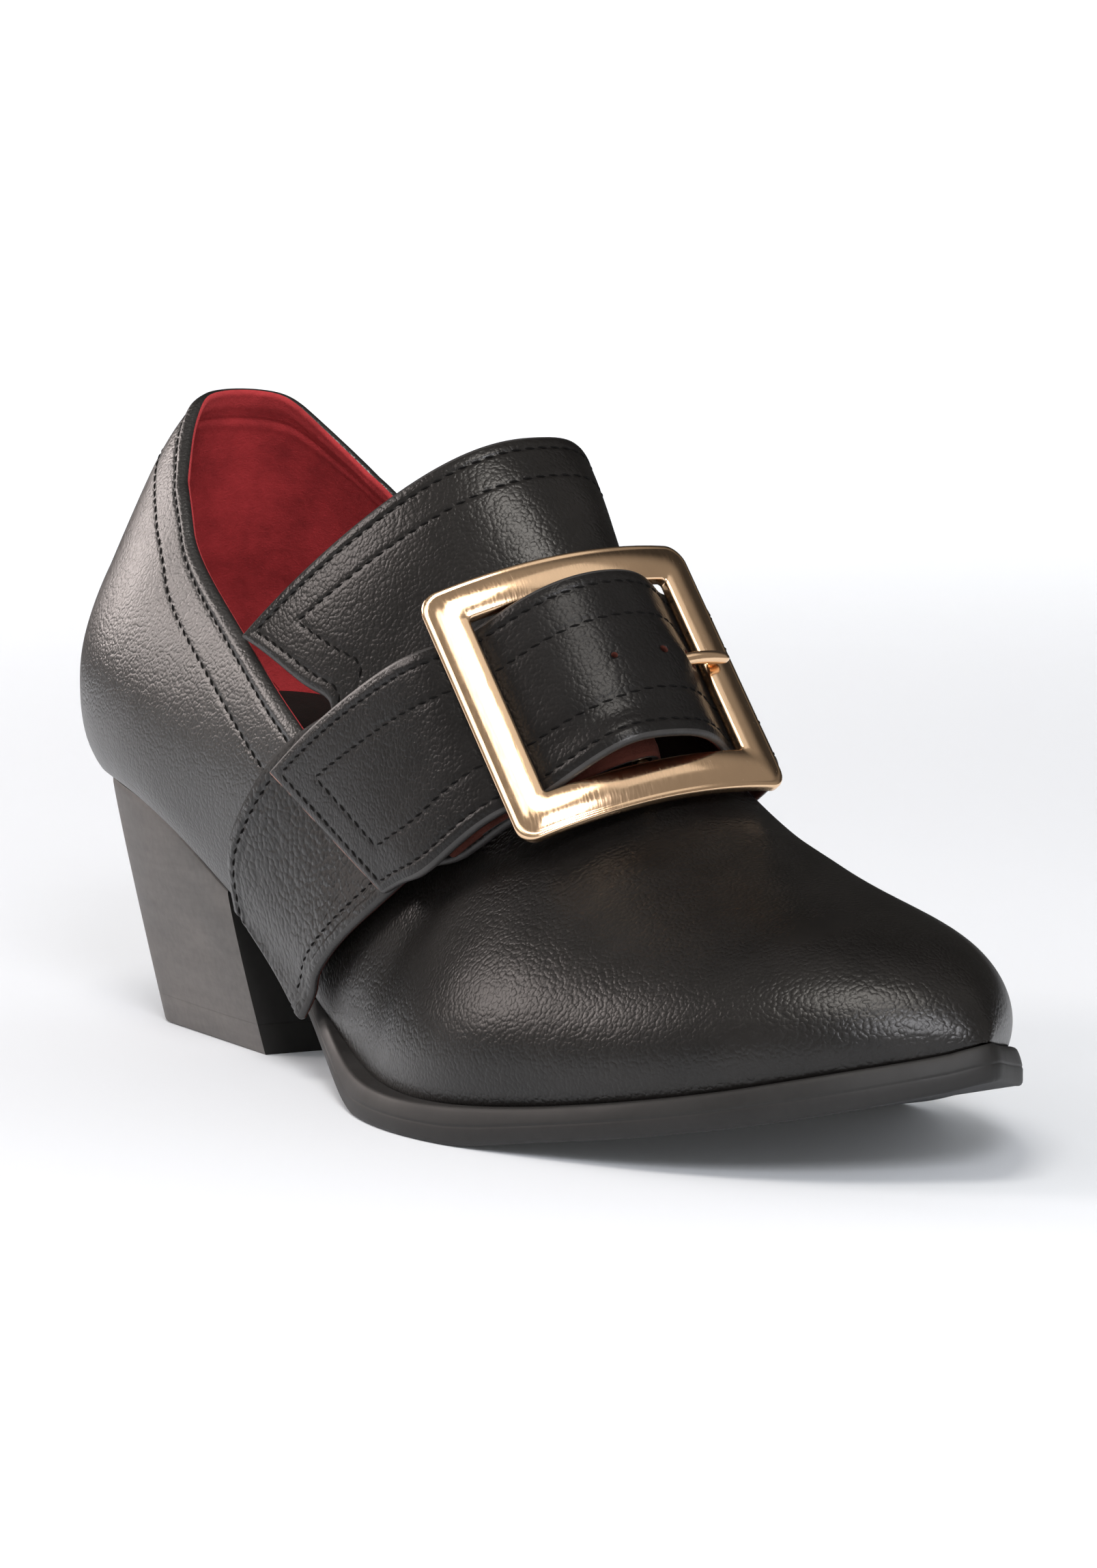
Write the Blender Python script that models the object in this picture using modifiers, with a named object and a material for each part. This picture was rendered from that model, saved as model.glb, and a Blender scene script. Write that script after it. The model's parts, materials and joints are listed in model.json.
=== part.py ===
"""Right shoe with a tongue, two latchet straps and a large square buckle.

Sizes are in millimetres in the tables and are scaled to metres when meshes are made.
x runs from the back of the heel to the toe, y to the wearer's left (medial side),
z up from the floor.  The upper, the sole, the heel and the insole are all worked out
from one feather line (where upper meets sole) and one instep ridge.
"""
import bpy
import bmesh
import numpy as np

MM = 0.001
X_BACK, X_TIP = 1.0, 245.0          # feather line, heel back and toe tip
WALL = 1.8                          # upper wall
GAP = 0.3                           # clearance between separate pieces
STRAP_T = 1.9                       # strap thickness
LAP = 0.5                           # quarter lies this far outside the vamp under the straps
BREAST = 66.0                       # heel breast
LIFT = 5.0                          # heel top lift
HEEL_AXIS = 34.0                    # x of the middle of the collar's round back

# feather line: x, height, half width lateral, half width medial
FEATHER = [
    (1, 44.6, 0.0, 0.0), (5, 44.5, 15.2, 14.8), (14, 44.0, 23.6, 22.8), (30, 42.8, 28.8, 27.6),
    (50, 37.2, 29.8, 27.6), (65, 29.0, 28.2, 25.2), (80, 21.2, 26.8, 22.8), (100, 12.4, 29.0, 22.8),
    (120, 7.4, 34.0, 26.2), (140, 5.8, 40.2, 32.3), (165, 6.0, 43.0, 38.6), (185, 7.8, 39.0, 38.8),
    (205, 10.8, 32.4, 33.4), (220, 13.8, 24.8, 26.2), (235, 17.8, 12.0, 15.8), (242, 20.0, 1.8, 9.2),
    (245, 21.2, -5.5, 5.5)]

# instep ridge: x, height, y
RIDGE = [
    (100, 118.8, 5.0), (108, 112.3, 5.0), (115, 106.0, 5.0), (122, 99.3, 5.0), (135, 84.8, 4.8),
    (150, 68.2, 4.5), (165, 55.2, 4.2), (175, 49.4, 4.0), (185, 45.2, 4.0), (195, 42.2, 4.2),
    (205, 40.2, 4.4), (216, 38.4, 4.7), (226, 36.2, 5.0), (234, 33.2, 5.2), (240, 29.6, 5.3),
    (243.5, 25.6, 5.4), (245, 21.2, 5.5)]

# vamp sections: feather x, ridge x, bulge lateral, bulge medial, fullness lateral, fullness medial
SECTION = [
    (38, 109.2, 3.0, 3.0, 2.35, 2.70), (50, 115.0, 4.0, 4.0, 2.35, 2.70), (65, 122.5, 5.0, 5.0, 2.35, 2.65),
    (80, 130.8, 4.4, 5.0, 2.20, 2.55), (100, 142.5, 2.2, 3.6, 2.05, 2.40), (120, 155.0, 1.6, 2.6, 2.02, 2.25),
    (140, 168.2, 1.8, 2.0, 2.10, 2.15), (165, 184.8, 1.6, 1.6, 2.10, 2.10), (185, 198.5, 1.2, 1.2, 2.10, 2.10),
    (205, 213.0, 1.0, 1.0, 2.10, 2.10), (220, 224.6, 0.8, 0.8, 2.10, 2.10), (235, 236.8, 0.5, 0.5, 2.05, 2.05),
    (242, 242.6, 0.3, 0.3, 2.00, 2.00), (245, 245.0, 0.0, 0.0, 2.00, 2.00)]

# counter profile: height above the feather, outward offset
COUNTER = [
    (0, 0.0), (1, 1.7), (2.5, 2.9), (5, 4.1), (9, 5.2), (15, 5.7), (21, 5.4), (27, 4.0), (33, 1.8),
    (39, -1.0), (45, -4.1), (51, -7.4), (57, -11.3), (61.5, -15.2), (66, -20.2)]

# topline: feather x of the meridian, height above the feather
TOPLINE = [
    (1, 66.0), (6, 65.0), (16, 61.2), (30, 55.4), (40, 50.4), (50, 43.6), (58, 38.2), (65, 34.0),
    (72, 31.0), (78, 28.0), (84, 22.0), (92, 9.0)]

# lower edge of vamp and tongue: feather x of the section, fraction of the section height
VAMP_EDGE = [
    (44, 0.462), (50, 0.480), (60, 0.513), (66, 0.533), (70, 0.545), (74, 0.500), (78, 0.320), (82, 0.100),
    (85, 0.000)]
TONGUE_X = 48.0
TONGUE_FLARE = 10.0

# outsole: x, height of the underside, ledge beyond the feather line lateral, medial
SOLE = [
    (66, 23.6, -1.6, -1.6), (80, 16.8, -1.0, -1.2), (100, 8.2, 1.2, -0.2), (120, 2.6, 3.4, 1.6),
    (136, 0.0, 4.0, 2.4), (150, 0.0, 3.8, 2.6), (168, 0.0, 3.0, 2.6), (185, 2.2, 2.6, 2.6), (205, 5.2, 2.6, 2.6),
    (220, 8.0, 2.5, 2.4), (235, 11.8, 2.2, 2.0), (245, 15.4, 1.8, 1.6)]
TOE_TWIST = 3.0                     # rise of the medial edge at the toe

# buckle, in its own frame: origin on the outer face
BUCKLE_AT = (159.4, -9.0, 72.1)
BUCKLE_PITCH, BUCKLE_TURN, BUCKLE_ROLL = 50.5, 2.4, -11.3
BUCKLE_W, BUCKLE_H, BUCKLE_R = 49.6, 47.8, 56.0
OPENING_W, OPENING_H = 35.8, 33.6
BUCKLE_T = 2.6
BAR_R, BAR_N = 1.5, -3.7            # centre bar radius and height in the buckle's frame
PRONG_T = -0.4                      # where along the bar the prong sits

# lateral latchet on the upper: height fraction, feather x of rear and front edges, stand-off of each
LATERAL_STRAP = [
    (0.025, 72.0, 100.5, 2.4, 2.6), (0.10, 69.6, 101.5, 2.4, 2.9), (0.20, 68.6, 104.5, 2.4, 3.2),
    (0.30, 69.2, 108.5, 2.4, 3.2), (0.42, 70.8, 113.0, 2.4, 2.8), (0.53, 74.4, 117.0, 2.4, 2.6)]
# and onward in the buckle's frame: across, outward, centre along the bar, half width
LATERAL_LOOP = [
    (-25.0, -25.2, 3.2, 16.2), (-19.0, -13.6, 1.2, 15.8), (-13.0, -9.4, 0.5, 15.4), (-7.0, -7.1, 0.2, 15.2)]
# medial latchet: the same columns
MEDIAL_STRAP = [
    (0.025, 72.0, 100.5, 2.4, 2.6), (0.12, 70.5, 101.0, 2.4, 2.9), (0.26, 71.5, 104.5, 2.4, 3.3),
    (0.40, 74.0, 109.0, 2.5, 3.6), (0.54, 77.5, 114.5, 2.6, 3.8), (0.68, 82.5, 120.0, 2.7, 3.8)]
MEDIAL_ARCH = [
    (26.5, -14.2, 0.6, 15.6), (22.0, -9.6, 0.2, 15.5), (17.6, -7.4, 0.0, 15.5), (13.2, -1.8, 0.0, 15.5),
    (8.5, 2.7, 0.0, 15.5), (2.5, 4.5, 0.0, 15.5), (-4.0, 3.7, 0.0, 15.5), (-9.0, 0.9, 0.0, 15.5),
    (-13.4, -3.3, 0.0, 15.5), (-17.6, -7.15, 0.1, 15.5), (-22.0, -9.5, 0.6, 15.5)]
# tail of the medial latchet: x, y, z of rear edge, x, y, z of front edge
TAIL = [
    (128.8, -33.8, 70.3, 147.0, -34.3, 41.9), (111.8, -36.0, 60.9, 139.2, -35.1, 38.5),
    (97.2, -36.3, 52.0, 131.6, -34.8, 35.7)]


# ---------------------------------------------------------------- curves

def curve(xs, ys):
    """Natural cubic through the rows of a table."""
    xs, ys = np.asarray(xs, float), np.asarray(ys, float)
    n, h = len(xs), np.diff(xs)
    d = np.diff(ys) / h
    a, r = np.eye(n), np.zeros(n)
    for k in range(1, n - 1):
        a[k, k - 1:k + 2] = h[k - 1], 2 * (h[k - 1] + h[k]), h[k]
        r[k] = 6 * (d[k] - d[k - 1])
    m = np.linalg.solve(a, r)

    def f(x):
        x = np.asarray(x, float)
        i = np.clip(np.searchsorted(xs, x) - 1, 0, n - 2)
        t, w = x - xs[i], h[i]
        return (ys[i] + t * (d[i] - w * (2 * m[i] + m[i + 1]) / 6) + t * t * m[i] / 2
                + t ** 3 * (m[i + 1] - m[i]) / (6 * w))
    return f


def columns(rows):
    return np.asarray(rows, float).T


def turn(x):
    """0 at the heel back, 1 at the toe tip, so that both ends come out round."""
    return np.arccos(np.clip(1 - 2 * (np.asarray(x, float) - X_BACK) / (X_TIP - X_BACK), -1, 1)) / np.pi


def unturn(u):
    return X_BACK + (X_TIP - X_BACK) * (1 - np.cos(np.pi * np.asarray(u, float))) / 2


def step(x, a, b):
    t = np.clip((np.asarray(x, float) - a) / (b - a), 0, 1)
    return t * t * (3 - 2 * t)


_x, _z, _l, _m = columns(FEATHER)
feather_z = curve(_x, _z)
_lat, _med = curve(turn(_x), _l), curve(turn(_x), _m)
_x, _z, _y = columns(RIDGE)
_o = np.argsort(np.sqrt(X_TIP - _x))
_rz = curve(np.sqrt(X_TIP - _x)[_o], _z[_o])
ridge_y = curve(_x, _y)
_x, _r, _bl, _bm, _fl, _fm = columns(SECTION)
ridge_x, bulge_l, bulge_m, full_l, full_m = (curve(_x, c) for c in (_r, _bl, _bm, _fl, _fm))
counter = curve(*columns(COUNTER))
topline = curve(*columns(TOPLINE))
_x, _z, _l, _m = columns(SOLE)
sole_z, _ledge_l, _ledge_m = curve(_x, _z), curve(_x, _l), curve(_x, _m)


def sole_ledge(x, side):
    return _ledge_l(x) if side < 0 else _ledge_m(x)


def ridge_z(x):
    return _rz(np.sqrt(np.clip(X_TIP - np.asarray(x, float), 0, None)))


def half(x, side):
    return _lat(turn(x)) if side < 0 else _med(turn(x))


def twist(x, y):
    """The medial edge of the toe rides a little higher than the lateral one."""
    return TOE_TWIST * step(x, 166, 206) * np.clip(np.asarray(y, float) / 30, 0, 1)


def feather(x, side):
    x = np.asarray(x, float)
    y = side * half(x, side)
    return np.stack([x, y, feather_z(x) + twist(x, y)], -1)


def plan_normal(u, side):
    """Outward normal of the feather outline, in plan."""
    e = 1e-3
    a = feather(unturn(np.clip(u - e, 0, 1)), side)[..., :2]
    b = feather(unturn(np.clip(u + e, 0, 1)), side)[..., :2]
    t = b - a
    n = np.stack([-t[..., 1], t[..., 0]], -1) * side
    return n / (np.linalg.norm(n, axis=-1, keepdims=True) + 1e-12)


def fan(x, h, side):
    """Outer face of vamp and tongue: x names the section, h runs from feather to ridge."""
    x, h = np.broadcast_arrays(np.asarray(x, float), np.asarray(h, float))
    rx = np.minimum(ridge_x(x), X_TIP)
    z0, z1, yr = feather(x, side)[..., 2] + GAP, ridge_z(rx), ridge_y(rx)
    z1 = np.maximum(z1, z0)
    p = full_l(x) if side < 0 else full_m(x)
    b = bulge_l(x) if side < 0 else bulge_m(x)
    w = np.clip(1 - h ** p, 0, None) ** (1 / p)
    y = yr * (1 - w) + side * (half(x, side) * w + b * 6.75 * h * (1 - h) ** 2)
    return np.stack([x + (rx - x) * h, y, z0 + (z1 - z0) * h], -1)


def fan_normal(x, h, side):
    x, h = np.broadcast_arrays(np.asarray(x, float), np.asarray(h, float))
    a = fan(x + 0.4, h, side) - fan(x - 0.4, h, side)
    b = fan(x, np.minimum(h + 0.02, 0.995), side) - fan(x, np.maximum(h - 0.02, 0), side)
    n = np.cross(a, b) * -side
    return n / (np.linalg.norm(n, axis=-1, keepdims=True) + 1e-12)


def quarter(x, g, side):
    """Outer face of the quarter: x names the meridian, g is the height above the feather."""
    x, g = np.broadcast_arrays(np.asarray(x, float), np.asarray(g, float))
    f = feather(x, side)
    n = plan_normal(turn(x), side)
    o = counter(g)
    # above the widest level the counter leans in towards the heel's axis, so that the collar stays round
    d = np.stack([f[..., 0] - np.maximum(x, HEEL_AXIS), f[..., 1]], -1)
    d = d / (np.linalg.norm(d, axis=-1, keepdims=True) + 1e-12)
    o = np.where(o < 0, o * (1 - 0.28 * np.clip(-d[..., 0], 0, 1) ** 2), o)
    n = np.where(o[..., None] < 0, d, n)
    back = np.stack([f[..., 0] + n[..., 0] * o, f[..., 1] + n[..., 1] * o, f[..., 2] + GAP + g], -1)
    rise = ridge_z(ridge_x(np.maximum(x, 40))) - feather_z(np.maximum(x, 40)) - GAP
    h = np.clip(g / rise, 0, 0.9)
    front = fan(np.maximum(x, 40), h, side) + LAP * fan_normal(np.maximum(x, 40), h, side)
    k = step(x, 44, 78)[..., None]
    return back * (1 - k) + front * k


# ---------------------------------------------------------------- buckle frame

def spin(v, axis, degrees):
    a = np.radians(degrees)
    return v * np.cos(a) + np.cross(axis, v) * np.sin(a) + axis * np.dot(axis, v) * (1 - np.cos(a))


_p = np.radians(BUCKLE_PITCH)
E1, E2, E3 = np.array([0, 1.0, 0]), np.array([-np.cos(_p), 0, np.sin(_p)]), np.array([np.sin(_p), 0, np.cos(_p)])
E1, E2 = spin(E1, E3, BUCKLE_TURN), spin(E2, E3, BUCKLE_TURN)
E1, E3 = spin(E1, E2, BUCKLE_ROLL), spin(E3, E2, BUCKLE_ROLL)


def at_buckle(s, n, t):
    """Point from distances across, outward and along the bar."""
    s, n, t = np.broadcast_arrays(*(np.asarray(v, float) for v in (s, n, t)))
    return np.asarray(BUCKLE_AT) + s[..., None] * E1 + n[..., None] * E3 + t[..., None] * E2


# ---------------------------------------------------------------- meshes

def collection(name):
    c = bpy.data.collections.new(name)
    bpy.context.scene.collection.children.link(c)
    return c


for _ob in list(bpy.data.objects):
    bpy.data.objects.remove(_ob, do_unlink=True)
PARTS = collection("latchet_shoe")
TOOLS = collection("cutters")

# origin: middle of the footprint, on the floor
_u = np.linspace(0.4, 0.9995, 400)
_rim = [feather(unturn(_u), s)[:, :2] + plan_normal(_u, s) * sole_ledge(unturn(_u), s)[:, None] for s in (-1, 1)]
X_MID = (quarter(X_BACK, 15.0, -1)[0] + max(r[:, 0].max() for r in _rim)) / 2
Y_MID = (_rim[0][:, 1].min() + _rim[1][:, 1].max()) / 2


def material(name, colour, rough, metal=0.0):
    m = bpy.data.materials.new(name)
    m.use_nodes = True
    b = m.node_tree.nodes["Principled BSDF"]
    b.inputs["Base Color"].default_value = (*colour, 1)
    b.inputs["Roughness"].default_value = rough
    b.inputs["Metallic"].default_value = metal
    return m


def add(name, points, faces, mat=None, where=None):
    mesh = bpy.data.meshes.new(name)
    v = (np.asarray(points, float).reshape(-1, 3) - (X_MID, Y_MID, 0)) * MM
    mesh.from_pydata([tuple(p) for p in v], [], faces)
    bm = bmesh.new()
    bm.from_mesh(mesh)
    bmesh.ops.remove_doubles(bm, verts=bm.verts, dist=2e-6)
    bmesh.ops.dissolve_degenerate(bm, edges=bm.edges, dist=1e-6)
    bmesh.ops.recalc_face_normals(bm, faces=bm.faces)
    bm.to_mesh(mesh)
    bm.free()
    ob = bpy.data.objects.new(name, mesh)
    (where or PARTS).objects.link(ob)
    if mat:
        mesh.materials.append(mat)
    if where is TOOLS:
        ob.hide_render = True
        ob.display_type = "WIRE"
    return ob


def grid(nu, nv, loop_u=False, loop_v=False):
    f = []
    for i in range(nu if loop_u else nu - 1):
        for j in range(nv if loop_v else nv - 1):
            a, b = i, (i + 1) % nu
            c, d = j, (j + 1) % nv
            f.append((a * nv + c, b * nv + c, b * nv + d, a * nv + d))
    return f


def shell(ob, thickness, offset, even=True):
    m = ob.modifiers.new("wall", "SOLIDIFY")
    m.thickness = thickness * MM
    m.offset = offset
    m.use_even_offset = even
    return m


def outward(ob, inside):
    """Open sheets: make the faces look away from a point inside the foot."""
    c = (np.asarray(inside, float) - (X_MID, Y_MID, 0)) * MM
    bm = bmesh.new()
    bm.from_mesh(ob.data)
    s = sum(f.normal.dot(f.calc_center_median() - type(f.normal)(c)) * f.calc_area() for f in bm.faces)
    if s < 0:
        bmesh.ops.reverse_faces(bm, faces=bm.faces)
    bm.to_mesh(ob.data)
    bm.free()


def boolean(ob, other, how):
    m = ob.modifiers.new(how.lower(), "BOOLEAN")
    m.operation = how
    m.solver = "EXACT"
    m.object = other
    return m


def settle(ob):
    """Apply the modifiers and split the many-sided faces that a join leaves."""
    mesh = bpy.data.meshes.new_from_object(ob.evaluated_get(bpy.context.evaluated_depsgraph_get()))
    ob.modifiers.clear()
    ob.data = mesh
    bm = bmesh.new()
    bm.from_mesh(mesh)
    bmesh.ops.remove_doubles(bm, verts=bm.verts, dist=1e-5)
    bmesh.ops.triangulate(bm, faces=bm.faces)
    bm.to_mesh(mesh)
    bm.free()


LEATHER = material("upper_leather", (0.012, 0.012, 0.013), 0.42)
LATCHET = material("strap_leather", (0.012, 0.012, 0.013), 0.45)
RUBBER = material("sole_rubber", (0.02, 0.02, 0.021), 0.6)
STACK = material("heel_stack", (0.03, 0.03, 0.03), 0.65)
SOCK = material("insole_sock", (0.015, 0.015, 0.015), 0.8)
GOLD = material("buckle_metal", (0.85, 0.64, 0.42), 0.22, 1.0)

# upper: vamp with its tongue, then the quarters round the heel
_edge = curve(*columns(VAMP_EDGE))


def vamp_edge(x):
    return np.where(x >= 85, 0.0, np.where(x <= 44, 0.462, np.clip(_edge(np.clip(x, 44, 85)), 0, 1)))


sections = np.concatenate([
    245 - 25 * np.linspace(0, 1, 8) ** 2, np.linspace(211, 92, 13), [88, 85, 82, 78, 74, 70, 65, 60, 54, TONGUE_X]])
across = 25
rows = []
for x in sections:
    lo = np.arcsin(float(vamp_edge(x)))
    line = []
    for j in range(across):
        a = lo + (np.pi - 2 * lo) * j / (across - 1)
        side = -1 if a <= np.pi / 2 else 1
        h = min(np.sin(a), 1.0)
        xs = x - TONGUE_FLARE * (1 - h) * step(x, 68, TONGUE_X)
        line.append(fan(xs, h, side))
    rows.append(line)
vamp = add("vamp_form", rows, grid(len(sections), across), None, TOOLS)
outward(vamp, (150, 0, 25))
shell(vamp, WALL, -1, False)

lean = np.concatenate([[90.6, 84.1, 79.3, 72.6, 67.4, 61.6, 55.8], unturn(np.linspace(turn(50.0), 0, 12))])
levels = np.array([0, 0.02, 0.05, 0.10, 0.18, 0.30, 0.45, 0.60, 0.75, 0.88, 1.0])
rows = []
for side, xs in ((-1, lean), (1, lean[::-1][1:])):
    for x in xs:
        rows.append(quarter(x, 0.2 + levels * float(topline(x)), side))
upper = add("upper", rows, grid(len(rows), len(levels)), LEATHER)
outward(upper, (60, 0, 60))
shell(upper, WALL, -1)
boolean(upper, vamp, "UNION")
settle(upper)

# outsole: closed loft, from the heel breast round the toe and back
u = np.linspace(turn(BREAST + GAP + 1.0), 1, 27)
ring = [(k, -1) for k in u] + [(k, 1) for k in u[::-1][1:]]


def sole_point(k, side, out, up):
    x = unturn(k)
    f, n = feather(x, side), plan_normal(np.clip(k, 0, 0.9995), side)
    e = sole_ledge(x, side) + out
    lo, hi = max(0.0, float(sole_z(x))) + float(twist(x, f[1])), float(f[2])
    return (f[0] + n[0] * e, f[1] + n[1] * e, lo + (hi - lo) * up)


profile = [(-1.0, 0.0), (-0.2, 0.12), (0.0, 0.5), (-0.3, 0.85), (-1.0, 1.0)]
rows = [[sole_point(k, side, o, up) for o, up in profile] for k, side in ring]
n_ring, n_pro = len(rows), len(profile)
faces = grid(n_ring, n_pro)
for i in range(n_ring // 2):
    a, b, c, d = i, i + 1, n_ring - 2 - i, n_ring - 1 - i
    for j in (0, n_pro - 1):
        q = [a * n_pro + j, b * n_pro + j, c * n_pro + j, d * n_pro + j]
        faces.append(tuple(dict.fromkeys(q)))
faces.append(tuple([j for j in range(n_pro)] + [(n_ring - 1) * n_pro + j for j in reversed(range(n_pro))]))
add("outsole", rows, faces, RUBBER)

# heel block and its top lift: D-shaped rings
heel_top = np.concatenate([np.linspace(0, 1, 13)])


def heel_point(k, side, w):
    """k runs from the back (0) to the breast (1), w from the seat (0) down to the floor (1)."""
    x = unturn(k * turn(BREAST - 0.6))
    f, n = feather(x, side), plan_normal(k * turn(BREAST - 0.6), side)
    top = f[:2] + 0.1 * n
    t = (x - X_BACK) / (BREAST - 0.6 - X_BACK)
    xb = 10.5 + (BREAST + 1.4 - 10.5) * t
    wide = half(BREAST - 0.6, side) * (0.785 if side < 0 else 0.81) * (0.74 + 0.26 * t)
    wide = wide * np.sqrt(1 - (1 - min(t / 0.24, 1.0)) ** 2)
    bottom = np.array([xb, side * wide])
    p = top + (bottom - top) * (w ** 1.12)
    return p, f[2] - GAP


def heel_ring(level):
    out = []
    for side, ks in ((-1, heel_top[::-1]), (1, heel_top[1:])):
        for k in ks:
            out.append(level(k, side))
    return out


def block(k, side, f):
    p, top = heel_point(k, side, 0.0)
    z = top + (LIFT + GAP - top) * f
    p, _ = heel_point(k, side, (top - z) / top)
    return (p[0], p[1], z)


def lift(k, side, z, inset):
    _, top = heel_point(k, side, 0.0)
    p, _ = heel_point(k, side, (top - z) / top)
    c = np.array([40.0, 0.0])
    p = p + (c - p) / np.linalg.norm(c - p) * inset
    return (p[0], p[1], z)


def drum(name, rings, mat):
    n = len(rings[0])
    f = grid(len(rings), n, False, True)
    for r, base in ((rings[0], 0), (rings[-1], (len(rings) - 1) * n)):
        for i in range(n // 2):
            q = [base + i, base + i + 1, base + n - 2 - i, base + n - 1 - i]
            q = list(dict.fromkeys(q))
            if len(q) > 2:
                f.append(tuple(q))
    return add(name, rings, f, mat)


drum("heel", [heel_ring(lambda k, s, f=f: block(k, s, f)) for f in (0, 0.2, 0.4, 0.6, 0.8, 1)], STACK)
drum("heel_lift", [heel_ring(lambda k, s, z=z, i=i: lift(k, s, z, i)) for z, i in
                   ((LIFT, 0.0), (0.5, 0.0), (0.0, 0.5))], RUBBER)

# insole with its padded heel
u = np.concatenate([np.linspace(0.035, 0.2, 5), np.linspace(0.25, 0.90, 21), [0.915, 0.93]])


def insole_point(k, side, out, top):
    x = unturn(k)
    f, n = feather(x, side), plan_normal(k, side)
    pad = 2.8 + 3.4 * (1 - step(x, 40, 110)) + 5.4 * (1 - step(x, 8, 52))
    z = f[2] + (2 * GAP if not top else pad)
    e = -(WALL + 1.0) + out
    return (f[0] + n[0] * e, f[1] + n[1] * e, z)


rings = []
for o, top in ((0.0, False), (0.4, True), (-0.6, True)):
    r = [insole_point(k, -1, o, top) for k in u] + [insole_point(k, 1, o, top) for k in u[::-1]]
    if len(rings) == 2:
        r = [(p[0], p[1], p[2] + 0.5) for p in r]
    rings.append(r)
drum("insole", rings, SOCK)


# straps: strips through rows of five points across
def strip(name, rows, per_row, mat):
    rows = np.asarray(rows, float)
    d = np.concatenate([[0], np.cumsum(np.linalg.norm(np.diff(rows[:, 2], axis=0), axis=1))])
    s = np.concatenate([np.linspace(d[i], d[i + 1], per_row[i] + 1)[:-1] for i in range(len(d) - 1)] + [[d[-1]]])
    cols = [np.stack([curve(d, rows[:, j, a])(s) for a in range(3)], -1) for j in range(rows.shape[1])]
    pts = np.stack(cols, 1)
    ob = add(name, pts, grid(len(s), rows.shape[1]), mat)
    shell(ob, STRAP_T, 0)
    return ob


W5 = np.linspace(0, 1, 5)


def on_upper(row, side, extra=0.0):
    h, rear, front, off_r, off_f = row
    x = rear + (front - rear) * W5
    off = off_r + (off_f - off_r) * W5 + extra
    return fan(x, h, side) + off[:, None] * fan_normal(x, h, side)


def by_bar(row, extra=0.0):
    s, n, mid, wide = row
    return at_buckle(s, n + extra, mid + wide * (1 - 2 * W5))


def hem(row):
    """Lower end of a strap, carried down to the edge of the sole, with its front corner drawn back."""
    return row + np.stack([-2.6 * W5 ** 3, 0 * W5, -0.15 - 2.6 * (1 - (1 - W5) ** 2)], -1)


loop_r = BAR_R + GAP + STRAP_T / 2
rows = [on_upper(r, -1) for r in LATERAL_STRAP] + [by_bar(r) for r in LATERAL_LOOP]
rows.insert(0, hem(rows[0]))
for a in (-90, -40, 10, 60, 110):
    rows.append(at_buckle(loop_r * np.cos(np.radians(a)), BAR_N + loop_r * np.sin(np.radians(a)), 15.2 * (1 - 2 * W5)))
FOLD = STRAP_T + GAP + 0.05


def raised(rows, d):
    """The same rows, moved outward along the normals of their sheet."""
    r = np.asarray(rows, float)
    n = np.cross(np.gradient(r, axis=0), np.gradient(r, axis=1))
    return r - d * n / np.linalg.norm(n, axis=-1, keepdims=True)


first = len(LATERAL_STRAP) + 1
back = raised(rows[:first + len(LATERAL_LOOP)], FOLD)[first:first + len(LATERAL_LOOP) - 1]
rows += list(back[::-1])
lateral = strip("lateral_strap", rows, [1] + [2] * 5 + [3] + [2] * 3 + [1] * 5 + [2] * 3, LATCHET)

rows = [on_upper(r, 1) for r in MEDIAL_STRAP] + [by_bar(r) for r in MEDIAL_ARCH]
rows.insert(0, hem(rows[0]))
for r in TAIL:
    a, b = np.array(r[:3]), np.array(r[3:])
    rows.append(a + (b - a) * W5[:, None])
medial = strip("medial_strap", rows, [1] + [2] * 5 + [4] + [2] * 10 + [3] * 3, LATCHET)


# buckle frame with its centre bar, and the prong
def rounded(w, h, r, per_side, per_corner):
    p = []
    for cx, cy, a0 in ((1, -1, -90), (1, 1, 0), (-1, 1, 90), (-1, -1, 180)):
        for k in range(per_corner + 1):
            a = np.radians(a0 + 90 * k / per_corner)
            p.append((cx * (w / 2 - r) + r * np.cos(a), cy * (h / 2 - r) + r * np.sin(a)))
        nxt = {(1, -1): (w / 2, h / 2 - r), (1, 1): (-(w / 2 - r), h / 2), (-1, 1): (-w / 2, -(h / 2 - r)),
               (-1, -1): (w / 2 - r, -h / 2)}[(cx, cy)]
        a, b = np.array(p[-1]), np.array(nxt)
        for k in range(1, per_side):
            p.append(tuple(a + (b - a) * k / per_side))
    return np.array(p)


outer = rounded(BUCKLE_W, BUCKLE_H, 3.4, 7, 4)
inner = rounded(OPENING_W, OPENING_H, 1.2, 7, 4)
# bar profile: fraction from outer to inner edge, depth below the outer face
BAR = [(0.0, 1.7), (0.05, 0.9), (0.22, 0.2), (0.5, 0.0), (0.78, 0.25), (0.96, 1.0), (1.0, 1.8), (0.94, BUCKLE_T),
       (0.04, BUCKLE_T)]
rows = []
for a, b in zip(outer, inner):
    line = []
    for f, deep in BAR:
        s, t = a + (b - a) * f
        r = BUCKLE_R - deep
        line.append(at_buckle(r * np.sin(s / BUCKLE_R), r * np.cos(s / BUCKLE_R) - BUCKLE_R, t))
    rows.append(line)
frame = add("buckle", rows, grid(len(rows), len(BAR), True, True), GOLD)


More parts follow.
